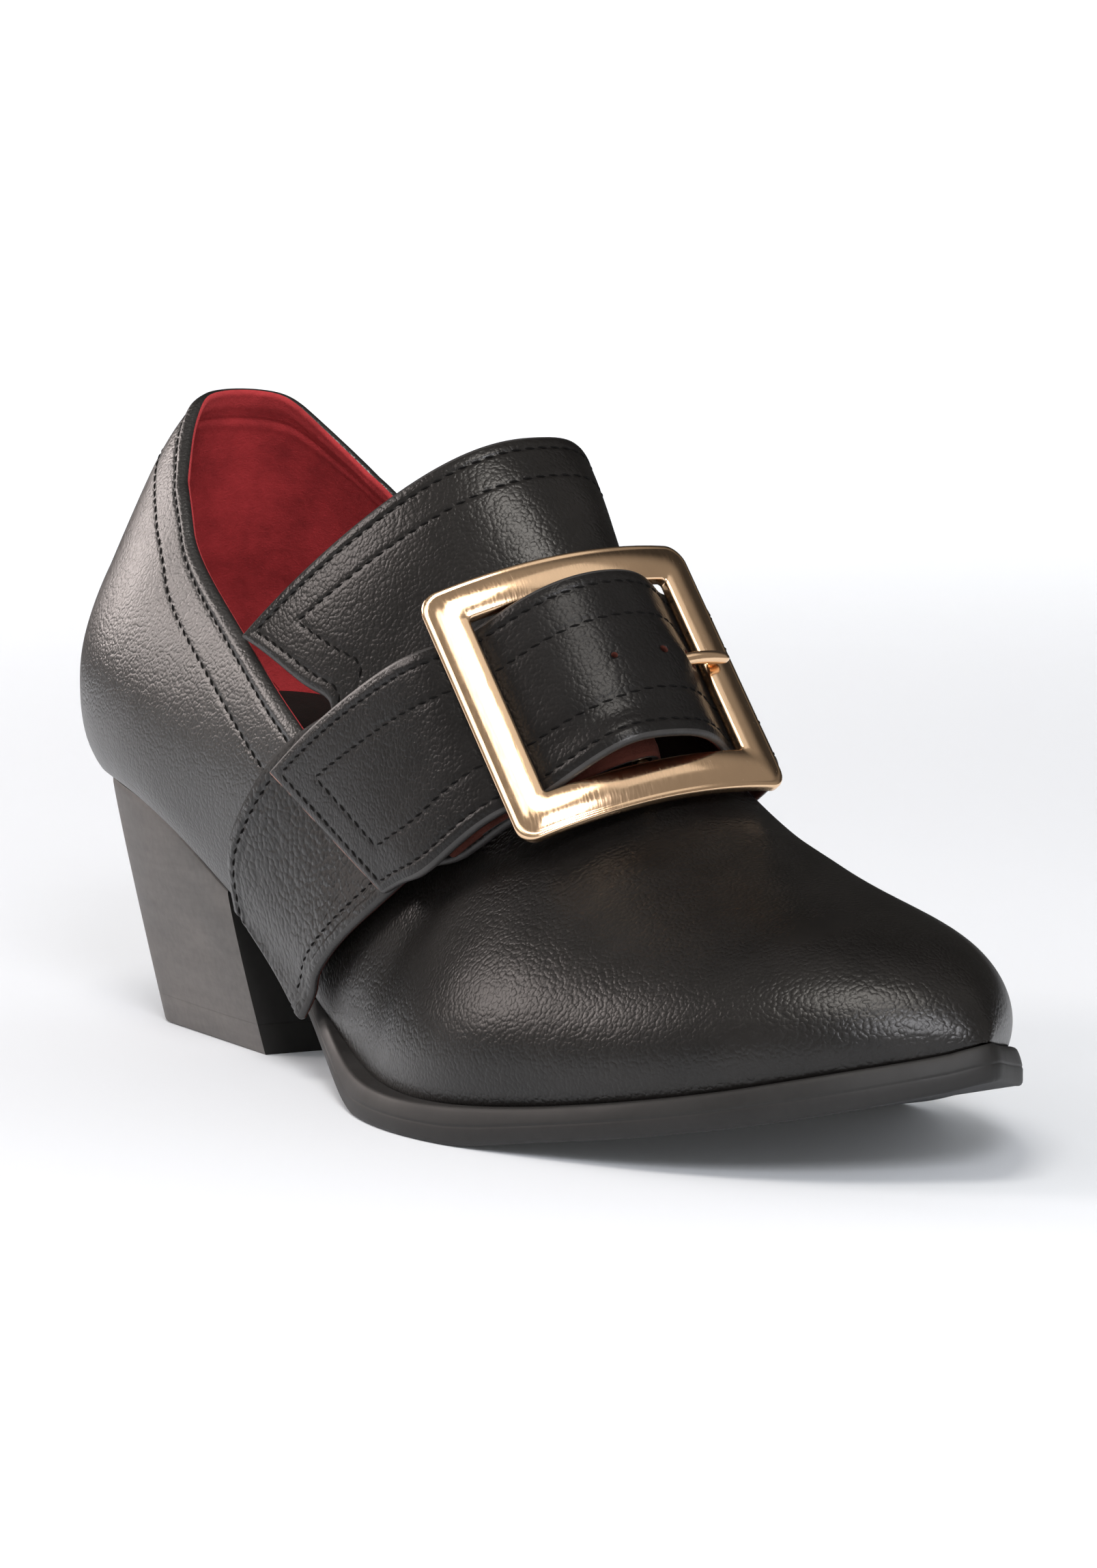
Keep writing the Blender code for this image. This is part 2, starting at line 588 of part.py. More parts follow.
def rod(name, path, radii, sides, mat=None, where=None):
    path = np.asarray(path, float)
    pts = []
    for i, p in enumerate(path):
        d = path[min(i + 1, len(path) - 1)] - path[max(i - 1, 0)]
        d /= np.linalg.norm(d)
        a = np.cross(d, E3)
        if np.linalg.norm(a) < 0.1:
            a = np.cross(d, E1)
        a /= np.linalg.norm(a)
        b = np.cross(d, a)
        for k in range(sides):
            t = 2 * np.pi * k / sides
            pts.append(p + radii[i] * (a * np.cos(t) + b * np.sin(t)))
    f = grid(len(path), sides, False, True)
    f += [tuple(range(sides)), tuple((len(path) - 1) * sides + k for k in range(sides))]
    return add(name, pts, f, mat, where)


bar = rod("centre_bar", [at_buckle(0, BAR_N, t) for t in (-19.5, 19.5)], [BAR_R] * 2, 12, None, TOOLS)
boolean(frame, bar, "UNION")

eye_in, eye_out, eye_half = BAR_R + GAP, BAR_R + GAP + 1.2, 1.5
pts = []
for k in range(16):
    a = 2 * np.pi * k / 16
    for r, t in ((eye_in, -eye_half), (eye_out, -eye_half), (eye_out, eye_half), (eye_in, eye_half)):
        pts.append(at_buckle(r * np.cos(a), BAR_N + r * np.sin(a), PRONG_T + t))
prong = add("prong", pts, grid(16, 4, True, True), GOLD)
PRONG_PATH = [(2.4, -3.1), (8.0, -2.0), (13.0, -0.6), (17.5, -1.1), (21.4, -2.7)]
shaft = rod("prong_shaft", [at_buckle(s, n, PRONG_T) for s, n in PRONG_PATH], [1.1, 1.15, 1.15, 1.1, 0.8], 10, None, TOOLS)
boolean(prong, shaft, "UNION")

hole = rod("strap_hole", [at_buckle(s, n, PRONG_T) for s, n in ((6.5, -2.4), (13.0, -0.6), (19.0, -1.5))],
           [1.75] * 3, 12, None, TOOLS)
boolean(medial, hole, "DIFFERENCE")
slot = rod("strap_slot", [at_buckle(s, BAR_N, PRONG_T) for s in (-6.0, 5.0)], [1.0, 1.0], 4, None, TOOLS)
slot_pts = []
for s in (-6.0, 6.0):
    for n, t in ((-12, -2.1), (4, -2.1), (4, 2.1), (-12, 2.1)):
        slot_pts.append(at_buckle(s, BAR_N + n, PRONG_T + t))
bpy.data.objects.remove(slot, do_unlink=True)
slot = add("strap_slot", slot_pts, [(0, 1, 2, 3), (4, 5, 6, 7), (0, 1, 5, 4), (1, 2, 6, 5), (2, 3, 7, 6), (3, 0, 4, 7)],
           None, TOOLS)
boolean(lateral, slot, "DIFFERENCE")
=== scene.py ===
"""Latchet shoe: the visual model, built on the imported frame.

All shapes come from the same last as the part: the feather line, the instep ridge and
the sections between them are repeated here, and finer meshes are drawn on them.
"""
import json
import math
import bmesh
import bpy
import numpy as np
from mathutils import Matrix, Vector

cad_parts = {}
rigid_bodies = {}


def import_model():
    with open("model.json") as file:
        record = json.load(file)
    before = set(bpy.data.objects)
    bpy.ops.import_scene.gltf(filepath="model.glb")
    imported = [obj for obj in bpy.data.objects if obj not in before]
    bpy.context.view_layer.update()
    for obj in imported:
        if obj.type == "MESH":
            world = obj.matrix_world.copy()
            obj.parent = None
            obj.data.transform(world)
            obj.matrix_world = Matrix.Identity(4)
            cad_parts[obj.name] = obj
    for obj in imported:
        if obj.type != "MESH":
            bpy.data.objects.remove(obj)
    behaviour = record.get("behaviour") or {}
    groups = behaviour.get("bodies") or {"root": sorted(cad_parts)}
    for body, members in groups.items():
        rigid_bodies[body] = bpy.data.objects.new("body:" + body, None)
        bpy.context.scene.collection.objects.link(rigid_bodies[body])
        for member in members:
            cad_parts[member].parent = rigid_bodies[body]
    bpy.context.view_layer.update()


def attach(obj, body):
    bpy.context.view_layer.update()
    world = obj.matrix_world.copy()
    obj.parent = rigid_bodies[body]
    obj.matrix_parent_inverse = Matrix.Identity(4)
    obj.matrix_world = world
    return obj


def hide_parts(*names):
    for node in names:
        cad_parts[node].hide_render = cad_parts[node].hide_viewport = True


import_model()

MM = 0.001
X_BACK, X_TIP = 1.0, 245.0          # feather line, heel back and toe tip
WALL = 1.8                          # upper wall
GAP = 0.3                           # clearance between separate pieces
STRAP_T = 1.9                       # strap thickness
LAP = 0.5                           # quarter lies this far outside the vamp under the straps
BREAST = 66.0                       # heel breast
LIFT = 5.0                          # heel top lift
HEEL_AXIS = 34.0                    # x of the middle of the collar's round back

# feather line: x, height, half width lateral, half width medial
FEATHER = [
    (1, 44.6, 0.0, 0.0), (5, 44.5, 15.2, 14.8), (14, 44.0, 23.6, 22.8), (30, 42.8, 28.8, 27.6),
    (50, 37.2, 29.8, 27.6), (65, 29.0, 28.2, 25.2), (80, 21.2, 26.8, 22.8), (100, 12.4, 29.0, 22.8),
    (120, 7.4, 34.0, 26.2), (140, 5.8, 40.2, 32.3), (165, 6.0, 43.0, 38.6), (185, 7.8, 39.0, 38.8),
    (205, 10.8, 32.4, 33.4), (220, 13.8, 24.8, 26.2), (235, 17.8, 12.0, 15.8), (242, 20.0, 1.8, 9.2),
    (245, 21.2, -5.5, 5.5)]

# instep ridge: x, height, y
RIDGE = [
    (100, 118.8, 5.0), (108, 112.3, 5.0), (115, 106.0, 5.0), (122, 99.3, 5.0), (135, 84.8, 4.8),
    (150, 68.2, 4.5), (165, 55.2, 4.2), (175, 49.4, 4.0), (185, 45.2, 4.0), (195, 42.2, 4.2),
    (205, 40.2, 4.4), (216, 38.4, 4.7), (226, 36.2, 5.0), (234, 33.2, 5.2), (240, 29.6, 5.3),
    (243.5, 25.6, 5.4), (245, 21.2, 5.5)]

# vamp sections: feather x, ridge x, bulge lateral, bulge medial, fullness lateral, fullness medial
SECTION = [
    (38, 109.2, 3.0, 3.0, 2.35, 2.70), (50, 115.0, 4.0, 4.0, 2.35, 2.70), (65, 122.5, 5.0, 5.0, 2.35, 2.65),
    (80, 130.8, 4.4, 5.0, 2.20, 2.55), (100, 142.5, 2.2, 3.6, 2.05, 2.40), (120, 155.0, 1.6, 2.6, 2.02, 2.25),
    (140, 168.2, 1.8, 2.0, 2.10, 2.15), (165, 184.8, 1.6, 1.6, 2.10, 2.10), (185, 198.5, 1.2, 1.2, 2.10, 2.10),
    (205, 213.0, 1.0, 1.0, 2.10, 2.10), (220, 224.6, 0.8, 0.8, 2.10, 2.10), (235, 236.8, 0.5, 0.5, 2.05, 2.05),
    (242, 242.6, 0.3, 0.3, 2.00, 2.00), (245, 245.0, 0.0, 0.0, 2.00, 2.00)]

# counter profile: height above the feather, outward offset
COUNTER = [
    (0, 0.0), (1, 1.7), (2.5, 2.9), (5, 4.1), (9, 5.2), (15, 5.7), (21, 5.4), (27, 4.0), (33, 1.8),
    (39, -1.0), (45, -4.1), (51, -7.4), (57, -11.3), (61.5, -15.2), (66, -20.2)]

# topline: feather x of the meridian, height above the feather
TOPLINE = [
    (1, 66.0), (6, 65.0), (16, 61.2), (30, 55.4), (40, 50.4), (50, 43.6), (58, 38.2), (65, 34.0),
    (72, 31.0), (78, 28.0), (84, 22.0), (92, 9.0)]

# lower edge of vamp and tongue: feather x of the section, fraction of the section height
VAMP_EDGE = [
    (44, 0.462), (50, 0.480), (60, 0.513), (66, 0.533), (70, 0.545), (74, 0.500), (78, 0.320), (82, 0.100),
    (85, 0.000)]
TONGUE_X = 48.0
TONGUE_FLARE = 10.0

# outsole: x, height of the underside, ledge beyond the feather line lateral, medial
SOLE = [
    (66, 23.6, -1.6, -1.6), (80, 16.8, -1.0, -1.2), (100, 8.2, 1.2, -0.2), (120, 2.6, 3.4, 1.6),
    (136, 0.0, 4.0, 2.4), (150, 0.0, 3.8, 2.6), (168, 0.0, 3.0, 2.6), (185, 2.2, 2.6, 2.6), (205, 5.2, 2.6, 2.6),
    (220, 8.0, 2.5, 2.4), (235, 11.8, 2.2, 2.0), (245, 15.4, 1.8, 1.6)]
TOE_TWIST = 3.0                     # rise of the medial edge at the toe

# buckle, in its own frame: origin on the outer face
BUCKLE_AT = (159.4, -9.0, 72.1)
BUCKLE_PITCH, BUCKLE_TURN, BUCKLE_ROLL = 50.5, 2.4, -11.3
BUCKLE_W, BUCKLE_H, BUCKLE_R = 49.6, 47.8, 56.0
OPENING_W, OPENING_H = 35.8, 33.6
BUCKLE_T = 2.6
BAR_R, BAR_N = 1.5, -3.7            # centre bar radius and height in the buckle's frame
PRONG_T = -0.4                      # where along the bar the prong sits

# lateral latchet on the upper: height fraction, feather x of rear and front edges, stand-off of each
LATERAL_STRAP = [
    (0.025, 72.0, 100.5, 2.4, 2.6), (0.10, 69.6, 101.5, 2.4, 2.9), (0.20, 68.6, 104.5, 2.4, 3.2),
    (0.30, 69.2, 108.5, 2.4, 3.2), (0.42, 70.8, 113.0, 2.4, 2.8), (0.53, 74.4, 117.0, 2.4, 2.6)]
# and onward in the buckle's frame: across, outward, centre along the bar, half width
LATERAL_LOOP = [
    (-25.0, -25.2, 3.2, 16.2), (-19.0, -13.6, 1.2, 15.8), (-13.0, -9.4, 0.5, 15.4), (-7.0, -7.1, 0.2, 15.2)]
# medial latchet: the same columns
MEDIAL_STRAP = [
    (0.025, 72.0, 100.5, 2.4, 2.6), (0.12, 70.5, 101.0, 2.4, 2.9), (0.26, 71.5, 104.5, 2.4, 3.3),
    (0.40, 74.0, 109.0, 2.5, 3.6), (0.54, 77.5, 114.5, 2.6, 3.8), (0.68, 82.5, 120.0, 2.7, 3.8)]
MEDIAL_ARCH = [
    (26.5, -14.2, 0.6, 15.6), (22.0, -9.6, 0.2, 15.5), (17.6, -7.4, 0.0, 15.5), (13.2, -1.8, 0.0, 15.5),
    (8.5, 2.7, 0.0, 15.5), (2.5, 4.5, 0.0, 15.5), (-4.0, 3.7, 0.0, 15.5), (-9.0, 0.9, 0.0, 15.5),
    (-13.4, -3.3, 0.0, 15.5), (-17.6, -7.15, 0.1, 15.5), (-22.0, -9.5, 0.6, 15.5)]
# tail of the medial latchet: x, y, z of rear edge, x, y, z of front edge
TAIL = [
    (128.8, -33.8, 70.3, 147.0, -34.3, 41.9), (111.8, -36.0, 60.9, 139.2, -35.1, 38.5),
    (97.2, -36.3, 52.0, 131.6, -34.8, 35.7)]


# ---------------------------------------------------------------- curves

def curve(xs, ys):
    """Natural cubic through the rows of a table."""
    xs, ys = np.asarray(xs, float), np.asarray(ys, float)
    n, h = len(xs), np.diff(xs)
    d = np.diff(ys) / h
    a, r = np.eye(n), np.zeros(n)
    for k in range(1, n - 1):
        a[k, k - 1:k + 2] = h[k - 1], 2 * (h[k - 1] + h[k]), h[k]
        r[k] = 6 * (d[k] - d[k - 1])
    m = np.linalg.solve(a, r)

    def f(x):
        x = np.asarray(x, float)
        i = np.clip(np.searchsorted(xs, x) - 1, 0, n - 2)
        t, w = x - xs[i], h[i]
        return (ys[i] + t * (d[i] - w * (2 * m[i] + m[i + 1]) / 6) + t * t * m[i] / 2
                + t ** 3 * (m[i + 1] - m[i]) / (6 * w))
    return f


def columns(rows):
    return np.asarray(rows, float).T


def turn(x):
    """0 at the heel back, 1 at the toe tip, so that both ends come out round."""
    return np.arccos(np.clip(1 - 2 * (np.asarray(x, float) - X_BACK) / (X_TIP - X_BACK), -1, 1)) / np.pi


def unturn(u):
    return X_BACK + (X_TIP - X_BACK) * (1 - np.cos(np.pi * np.asarray(u, float))) / 2


def step(x, a, b):
    t = np.clip((np.asarray(x, float) - a) / (b - a), 0, 1)
    return t * t * (3 - 2 * t)


_x, _z, _l, _m = columns(FEATHER)
feather_z = curve(_x, _z)
_lat, _med = curve(turn(_x), _l), curve(turn(_x), _m)
_x, _z, _y = columns(RIDGE)
_o = np.argsort(np.sqrt(X_TIP - _x))
_rz = curve(np.sqrt(X_TIP - _x)[_o], _z[_o])
ridge_y = curve(_x, _y)
_x, _r, _bl, _bm, _fl, _fm = columns(SECTION)
ridge_x, bulge_l, bulge_m, full_l, full_m = (curve(_x, c) for c in (_r, _bl, _bm, _fl, _fm))
counter = curve(*columns(COUNTER))
topline = curve(*columns(TOPLINE))
_x, _z, _l, _m = columns(SOLE)
sole_z, _ledge_l, _ledge_m = curve(_x, _z), curve(_x, _l), curve(_x, _m)


def sole_ledge(x, side):
    return _ledge_l(x) if side < 0 else _ledge_m(x)


def ridge_z(x):
    return _rz(np.sqrt(np.clip(X_TIP - np.asarray(x, float), 0, None)))


def half(x, side):
    return _lat(turn(x)) if side < 0 else _med(turn(x))


def twist(x, y):
    """The medial edge of the toe rides a little higher than the lateral one."""
    return TOE_TWIST * step(x, 166, 206) * np.clip(np.asarray(y, float) / 30, 0, 1)


def feather(x, side):
    x = np.asarray(x, float)
    y = side * half(x, side)
    return np.stack([x, y, feather_z(x) + twist(x, y)], -1)


def plan_normal(u, side):
    """Outward normal of the feather outline, in plan."""
    e = 1e-3
    a = feather(unturn(np.clip(u - e, 0, 1)), side)[..., :2]
    b = feather(unturn(np.clip(u + e, 0, 1)), side)[..., :2]
    t = b - a
    n = np.stack([-t[..., 1], t[..., 0]], -1) * side
    return n / (np.linalg.norm(n, axis=-1, keepdims=True) + 1e-12)


def fan(x, h, side):
    """Outer face of vamp and tongue: x names the section, h runs from feather to ridge."""
    x, h = np.broadcast_arrays(np.asarray(x, float), np.asarray(h, float))
    rx = np.minimum(ridge_x(x), X_TIP)
    z0, z1, yr = feather(x, side)[..., 2] + GAP, ridge_z(rx), ridge_y(rx)
    z1 = np.maximum(z1, z0)
    p = full_l(x) if side < 0 else full_m(x)
    b = bulge_l(x) if side < 0 else bulge_m(x)
    w = np.clip(1 - h ** p, 0, None) ** (1 / p)
    y = yr * (1 - w) + side * (half(x, side) * w + b * 6.75 * h * (1 - h) ** 2)
    return np.stack([x + (rx - x) * h, y, z0 + (z1 - z0) * h], -1)


def fan_normal(x, h, side):
    x, h = np.broadcast_arrays(np.asarray(x, float), np.asarray(h, float))
    a = fan(x + 0.4, h, side) - fan(x - 0.4, h, side)
    b = fan(x, np.minimum(h + 0.02, 0.995), side) - fan(x, np.maximum(h - 0.02, 0), side)
    n = np.cross(a, b) * -side
    return n / (np.linalg.norm(n, axis=-1, keepdims=True) + 1e-12)


def quarter(x, g, side):
    """Outer face of the quarter: x names the meridian, g is the height above the feather."""
    x, g = np.broadcast_arrays(np.asarray(x, float), np.asarray(g, float))
    f = feather(x, side)
    n = plan_normal(turn(x), side)
    o = counter(g)
    # above the widest level the counter leans in towards the heel's axis, so that the collar stays round
    d = np.stack([f[..., 0] - np.maximum(x, HEEL_AXIS), f[..., 1]], -1)
    d = d / (np.linalg.norm(d, axis=-1, keepdims=True) + 1e-12)
    o = np.where(o < 0, o * (1 - 0.28 * np.clip(-d[..., 0], 0, 1) ** 2), o)
    n = np.where(o[..., None] < 0, d, n)
    back = np.stack([f[..., 0] + n[..., 0] * o, f[..., 1] + n[..., 1] * o, f[..., 2] + GAP + g], -1)
    rise = ridge_z(ridge_x(np.maximum(x, 40))) - feather_z(np.maximum(x, 40)) - GAP
    h = np.clip(g / rise, 0, 0.9)
    front = fan(np.maximum(x, 40), h, side) + LAP * fan_normal(np.maximum(x, 40), h, side)
    k = step(x, 44, 78)[..., None]
    return back * (1 - k) + front * k


# ---------------------------------------------------------------- buckle frame

def spin(v, axis, degrees):
    a = np.radians(degrees)
    return v * np.cos(a) + np.cross(axis, v) * np.sin(a) + axis * np.dot(axis, v) * (1 - np.cos(a))


_p = np.radians(BUCKLE_PITCH)
E1, E2, E3 = np.array([0, 1.0, 0]), np.array([-np.cos(_p), 0, np.sin(_p)]), np.array([np.sin(_p), 0, np.cos(_p)])
E1, E2 = spin(E1, E3, BUCKLE_TURN), spin(E2, E3, BUCKLE_TURN)
E1, E3 = spin(E1, E2, BUCKLE_ROLL), spin(E3, E2, BUCKLE_ROLL)


def at_buckle(s, n, t):
    """Point from distances across, outward and along the bar."""
    s, n, t = np.broadcast_arrays(*(np.asarray(v, float) for v in (s, n, t)))
    return np.asarray(BUCKLE_AT) + s[..., None] * E1 + n[..., None] * E3 + t[..., None] * E2



# origin: middle of the footprint, on the floor
_u = np.linspace(0.4, 0.9995, 400)
_rim = [feather(unturn(_u), s)[:, :2] + plan_normal(_u, s) * sole_ledge(unturn(_u), s)[:, None] for s in (-1, 1)]
X_MID = (quarter(X_BACK, 15.0, -1)[0] + max(r[:, 0].max() for r in _rim)) / 2
Y_MID = (_rim[0][:, 1].min() + _rim[1][:, 1].max()) / 2

_edge = curve(*columns(VAMP_EDGE))


def vamp_edge(x):
    return np.where(x >= 85, 0.0, np.where(x <= 44, 0.462, np.clip(_edge(np.clip(x, 44, 85)), 0, 1)))


# ---------------------------------------------------------------- mesh helpers

ORIGIN = np.array([X_MID, Y_MID, 0.0])
SHOE = bpy.data.collections.new("shoe")
bpy.context.scene.collection.children.link(SHOE)


def unit(v):
    return v / (np.linalg.norm(v, axis=-1, keepdims=True) + 1e-12)


def sheet_normal(p):
    return unit(np.cross(np.gradient(p, axis=0), np.gradient(p, axis=1)))


def bump(d, at, width):
    return np.exp(-((d - at) / width) ** 2)


def quads(nu, nv, loop_u=False, loop_v=False):
    """Faces of a grid, with the row and column that each belongs to."""
    i, j = np.meshgrid(np.arange(nu if loop_u else nu - 1), np.arange(nv if loop_v else nv - 1), indexing="ij")
    a, b, c, d = i, (i + 1) % nu, j, (j + 1) % nv
    f = np.stack([a * nv + c, b * nv + c, b * nv + d, a * nv + d], -1).reshape(-1, 4)
    return f, i.ravel(), j.ravel()


def piece(name, points, faces, mats, index=None, nodes=(), sharp=None, weld=2e-6):
    mesh = bpy.data.meshes.new(name)
    v = (np.asarray(points, float).reshape(-1, 3) - ORIGIN) * MM
    mesh.from_pydata(v.tolist(), [], [list(map(int, f)) for f in faces])
    for m in mats:
        mesh.materials.append(m)
    if index is not None:
        mesh.polygons.foreach_set("material_index", np.asarray(index, np.int32))
    bm = bmesh.new()
    bm.from_mesh(mesh)
    if weld:
        bmesh.ops.remove_doubles(bm, verts=bm.verts, dist=weld)
        bmesh.ops.dissolve_degenerate(bm, edges=bm.edges, dist=1e-7)
    bmesh.ops.recalc_face_normals(bm, faces=bm.faces)
    for f in bm.faces:
        f.smooth = True
    bm.to_mesh(mesh)
    bm.free()
    if sharp:
        mesh.set_sharp_from_angle(angle=math.radians(sharp))
    ob = bpy.data.objects.new(name, mesh)
    SHOE.objects.link(ob)
    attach(ob, "root")
    if nodes:
        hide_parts(*nodes)
    return ob


def slab(outer, inner, rim=4, ends=(True, True)):
    """Closed sheet with rounded edges from its two faces; rows run along, columns across.

    Returns points, faces, row of each face and its kind: 0 outer, 1 far rim, 2 inner, 3 near rim, 4 end caps,
    and the column of the face on its side or rim.
    """
    mid, hw = (outer + inner) / 2, (outer - inner) / 2
    r = np.linalg.norm(hw, axis=-1, keepdims=True)
    n = outer.shape[1]

    def arc(k, k2):
        e = unit(mid[:, k] - mid[:, k2])
        return np.stack([mid[:, k] + hw[:, k] * np.cos(t) + e * r[:, k] * np.sin(t)
                         for t in np.linspace(0, np.pi, rim + 2)[1:-1]], 1)

    ring = np.concatenate([outer, arc(n - 1, n - 2), inner[:, ::-1], arc(0, 1)[:, ::-1]], 1)
    foot = np.concatenate([mid, np.repeat(mid[:, n - 1:], rim, 1), mid[:, ::-1], np.repeat(mid[:, :1], rim, 1)], 1)
    kind = np.concatenate([np.zeros(n - 1), np.ones(rim + 1), np.full(n - 1, 2), np.full(rim + 1, 3)]).astype(int)
    col = np.concatenate([np.arange(n - 1), np.arange(rim + 1), np.arange(n - 1)[::-1], np.arange(rim + 1)]).astype(int)
    rows, first = [ring], 0
    turns = (0.5, 1.0, np.pi / 2)
    for end, nxt in ((0, 1), (-1, -2)):
        if not ends[end]:
            continue
        e = unit(foot[end] - foot[nxt])
        reach = np.linalg.norm(ring[end] - foot[end], axis=-1, keepdims=True)
        cap = np.stack([foot[end] + (ring[end] - foot[end]) * np.cos(t) + e * reach * np.sin(t) for t in turns], 0)
        if end == 0:
            rows.insert(0, cap[::-1])
            first = len(turns)
        else:
            rows.append(cap)
    pts = np.concatenate(rows, 0)
    f, i, j = quads(pts.shape[0], pts.shape[1], False, True)
    k = kind[j]
    k = np.where((i < first) | (i >= first + ring.shape[0] - 1), 4, k)
    return pts, f, i - first, k, col[j]


def along(p):
    return np.concatenate([[0], np.cumsum(np.linalg.norm(np.diff(p, axis=0), axis=1))])


def sample(d, p, s):
    return np.stack([np.interp(s, d, p[:, a]) for a in range(3)], -1)


def stitches(name, runs, mat, pitch=2.35, length=2.25, r=0.18, rise=0.03, slant=0.17):
    """Rows of separate stitches: each is a short bent thread, a little aslant, that dips in at both ends."""
    shape = np.array([0.25, 0.72, 0.96, 1.0, 0.96, 0.72, 0.25])
    bend = np.array([-1.1, -0.35, 0.15, 0.35, 0.15, -0.35, -1.1]) * r
    ang = np.arange(6) * np.pi / 3
    pts, faces, base = [], [], 0
    one, _, _ = quads(7, 6, False, True)
    for p, nrm in runs:
        d = along(p)
        count = int(d[-1] / pitch)
        if count < 1:
            continue
        mid = (np.arange(count) + 0.5) * d[-1] / count
        s = mid[:, None] + np.linspace(-0.5, 0.5, 7) * length
        c, n = sample(d, p, s.ravel()).reshape(count, 7, 3), unit(sample(d, nrm, s.ravel())).reshape(count, 7, 3)
        t = unit(np.gradient(c, axis=1))
        b = np.cross(t, n)
        c = c + n * (bend + rise)[None, :, None] + b * (np.linspace(-0.5, 0.5, 7) * length * slant)[None, :, None]
        ring = (c[:, :, None] + r * shape[None, :, None, None]
                * (n[:, :, None] * np.cos(ang)[None, None, :, None] + b[:, :, None] * np.sin(ang)[None, None, :, None]))
        pts.append(ring.reshape(-1, 3))
        faces.append((one[None] + (base + np.arange(count) * 42)[:, None, None]).reshape(-1, 4))
        base += count * 42
    return piece(name, np.concatenate(pts), np.concatenate(faces), [mat], weld=0)


def tube(path, radii, sides, flat=1.0, up=None):
    path = np.asarray(path, float)
    radii = np.broadcast_to(radii, (len(path),))
    t = unit(np.gradient(path, axis=0))
    ref = np.broadcast_to(E3 if up is None else up, path.shape)
    a = unit(np.cross(t, ref))
    b = np.cross(a, t)
    k = np.arange(sides) * 2 * np.pi / sides
    pts = path[:, None] + radii[:, None, None] * (a[:, None] * np.cos(k)[None, :, None]
                                                  + b[:, None] * flat * np.sin(k)[None, :, None])
    f, _, _ = quads(len(path), sides, False, True)
    f = [tuple(q) for q in f] + [tuple(range(sides)), tuple((len(path) - 1) * sides + k for k in range(sides))]
    return pts, f


def cut(ob, points, faces):
    """Takes a closed cutter out of a piece."""
    mesh = bpy.data.meshes.new("cutter")
    v = (np.asarray(points, float).reshape(-1, 3) - ORIGIN) * MM
    mesh.from_pydata(v.tolist(), [], [list(map(int, f)) for f in faces])
    bm = bmesh.new()
    bm.from_mesh(mesh)
    bmesh.ops.recalc_face_normals(bm, faces=bm.faces)
    for f in bm.faces:
        f.smooth = True
        f.material_index = 1
    bm.to_mesh(mesh)
    bm.free()
    for m in ob.data.materials:
        mesh.materials.append(m)
    tool = bpy.data.objects.new("cutter", mesh)
    SHOE.objects.link(tool)
    mod = ob.modifiers.new("hole", "BOOLEAN")
    mod.operation, mod.solver, mod.object = "DIFFERENCE", "EXACT", tool
    made = bpy.data.meshes.new_from_object(ob.evaluated_get(bpy.context.evaluated_depsgraph_get()))
    ob.modifiers.clear()
    ob.data = made
    bpy.data.objects.remove(tool, do_unlink=True)


# ---------------------------------------------------------------- materials

def shader(name, colour, rough, **sockets):
    m = bpy.data.materials.new(name)
    m.use_nodes = True
    b = m.node_tree.nodes["Principled BSDF"]
    b.inputs["Base Color"].default_value = (*colour, 1)
    b.inputs["Roughness"].default_value = rough
    for k, v in sockets.items():
        b.inputs[k.replace("_", " ")].default_value = v
    return m, m.node_tree, b


def node(tree, kind, **values):
    n = tree.nodes.new(kind)
    for k, v in values.items():
        if hasattr(n, k):
            setattr(n, k, v)
        else:
            n.inputs[k.replace("_", " ")].default_value = v
    return n


def coords(tree, scale=(1, 1, 1)):
    c = node(tree, "ShaderNodeTexCoord")
    m = node(tree, "ShaderNodeMapping")
    m.inputs["Scale"].default_value = scale
    tree.links.new(c.outputs["Object"], m.inputs["Vector"])
    return m.outputs["Vector"]


def noise(tree, vec, scale, detail=3.0, rough=0.55):
    n = node(tree, "ShaderNodeTexNoise", Scale=scale, Detail=detail, Roughness=rough)
    tree.links.new(vec, n.inputs["Vector"])
    return n.outputs["Fac"]


def math_node(tree, op, a, b):
    n = node(tree, "ShaderNodeMath", operation=op)
    for k, v in enumerate((a, b)):
        if isinstance(v, (int, float)):
            n.inputs[k].default_value = v
        else:
            tree.links.new(v, n.inputs[k])
    return n.outputs[0]


def ramp(tree, fac, stops):
    n = node(tree, "ShaderNodeValToRGB")
    e = n.color_ramp.elements
    while len(e) < len(stops):
        e.new(0.5)
    for k, (at, c) in enumerate(stops):
        e[k].position = at
        e[k].color = (*c, 1) if len(c) == 3 else c
    tree.links.new(fac, n.inputs["Fac"])
    return n.outputs["Color"]


def grey(v):
    return (v, v, v)


def height(tree, b, value, distance, strength):
    n = node(tree, "ShaderNodeBump", Strength=strength, Distance=distance)
    tree.links.new(value, n.inputs["Height"])
    tree.links.new(n.outputs["Normal"], b.inputs["Normal"])


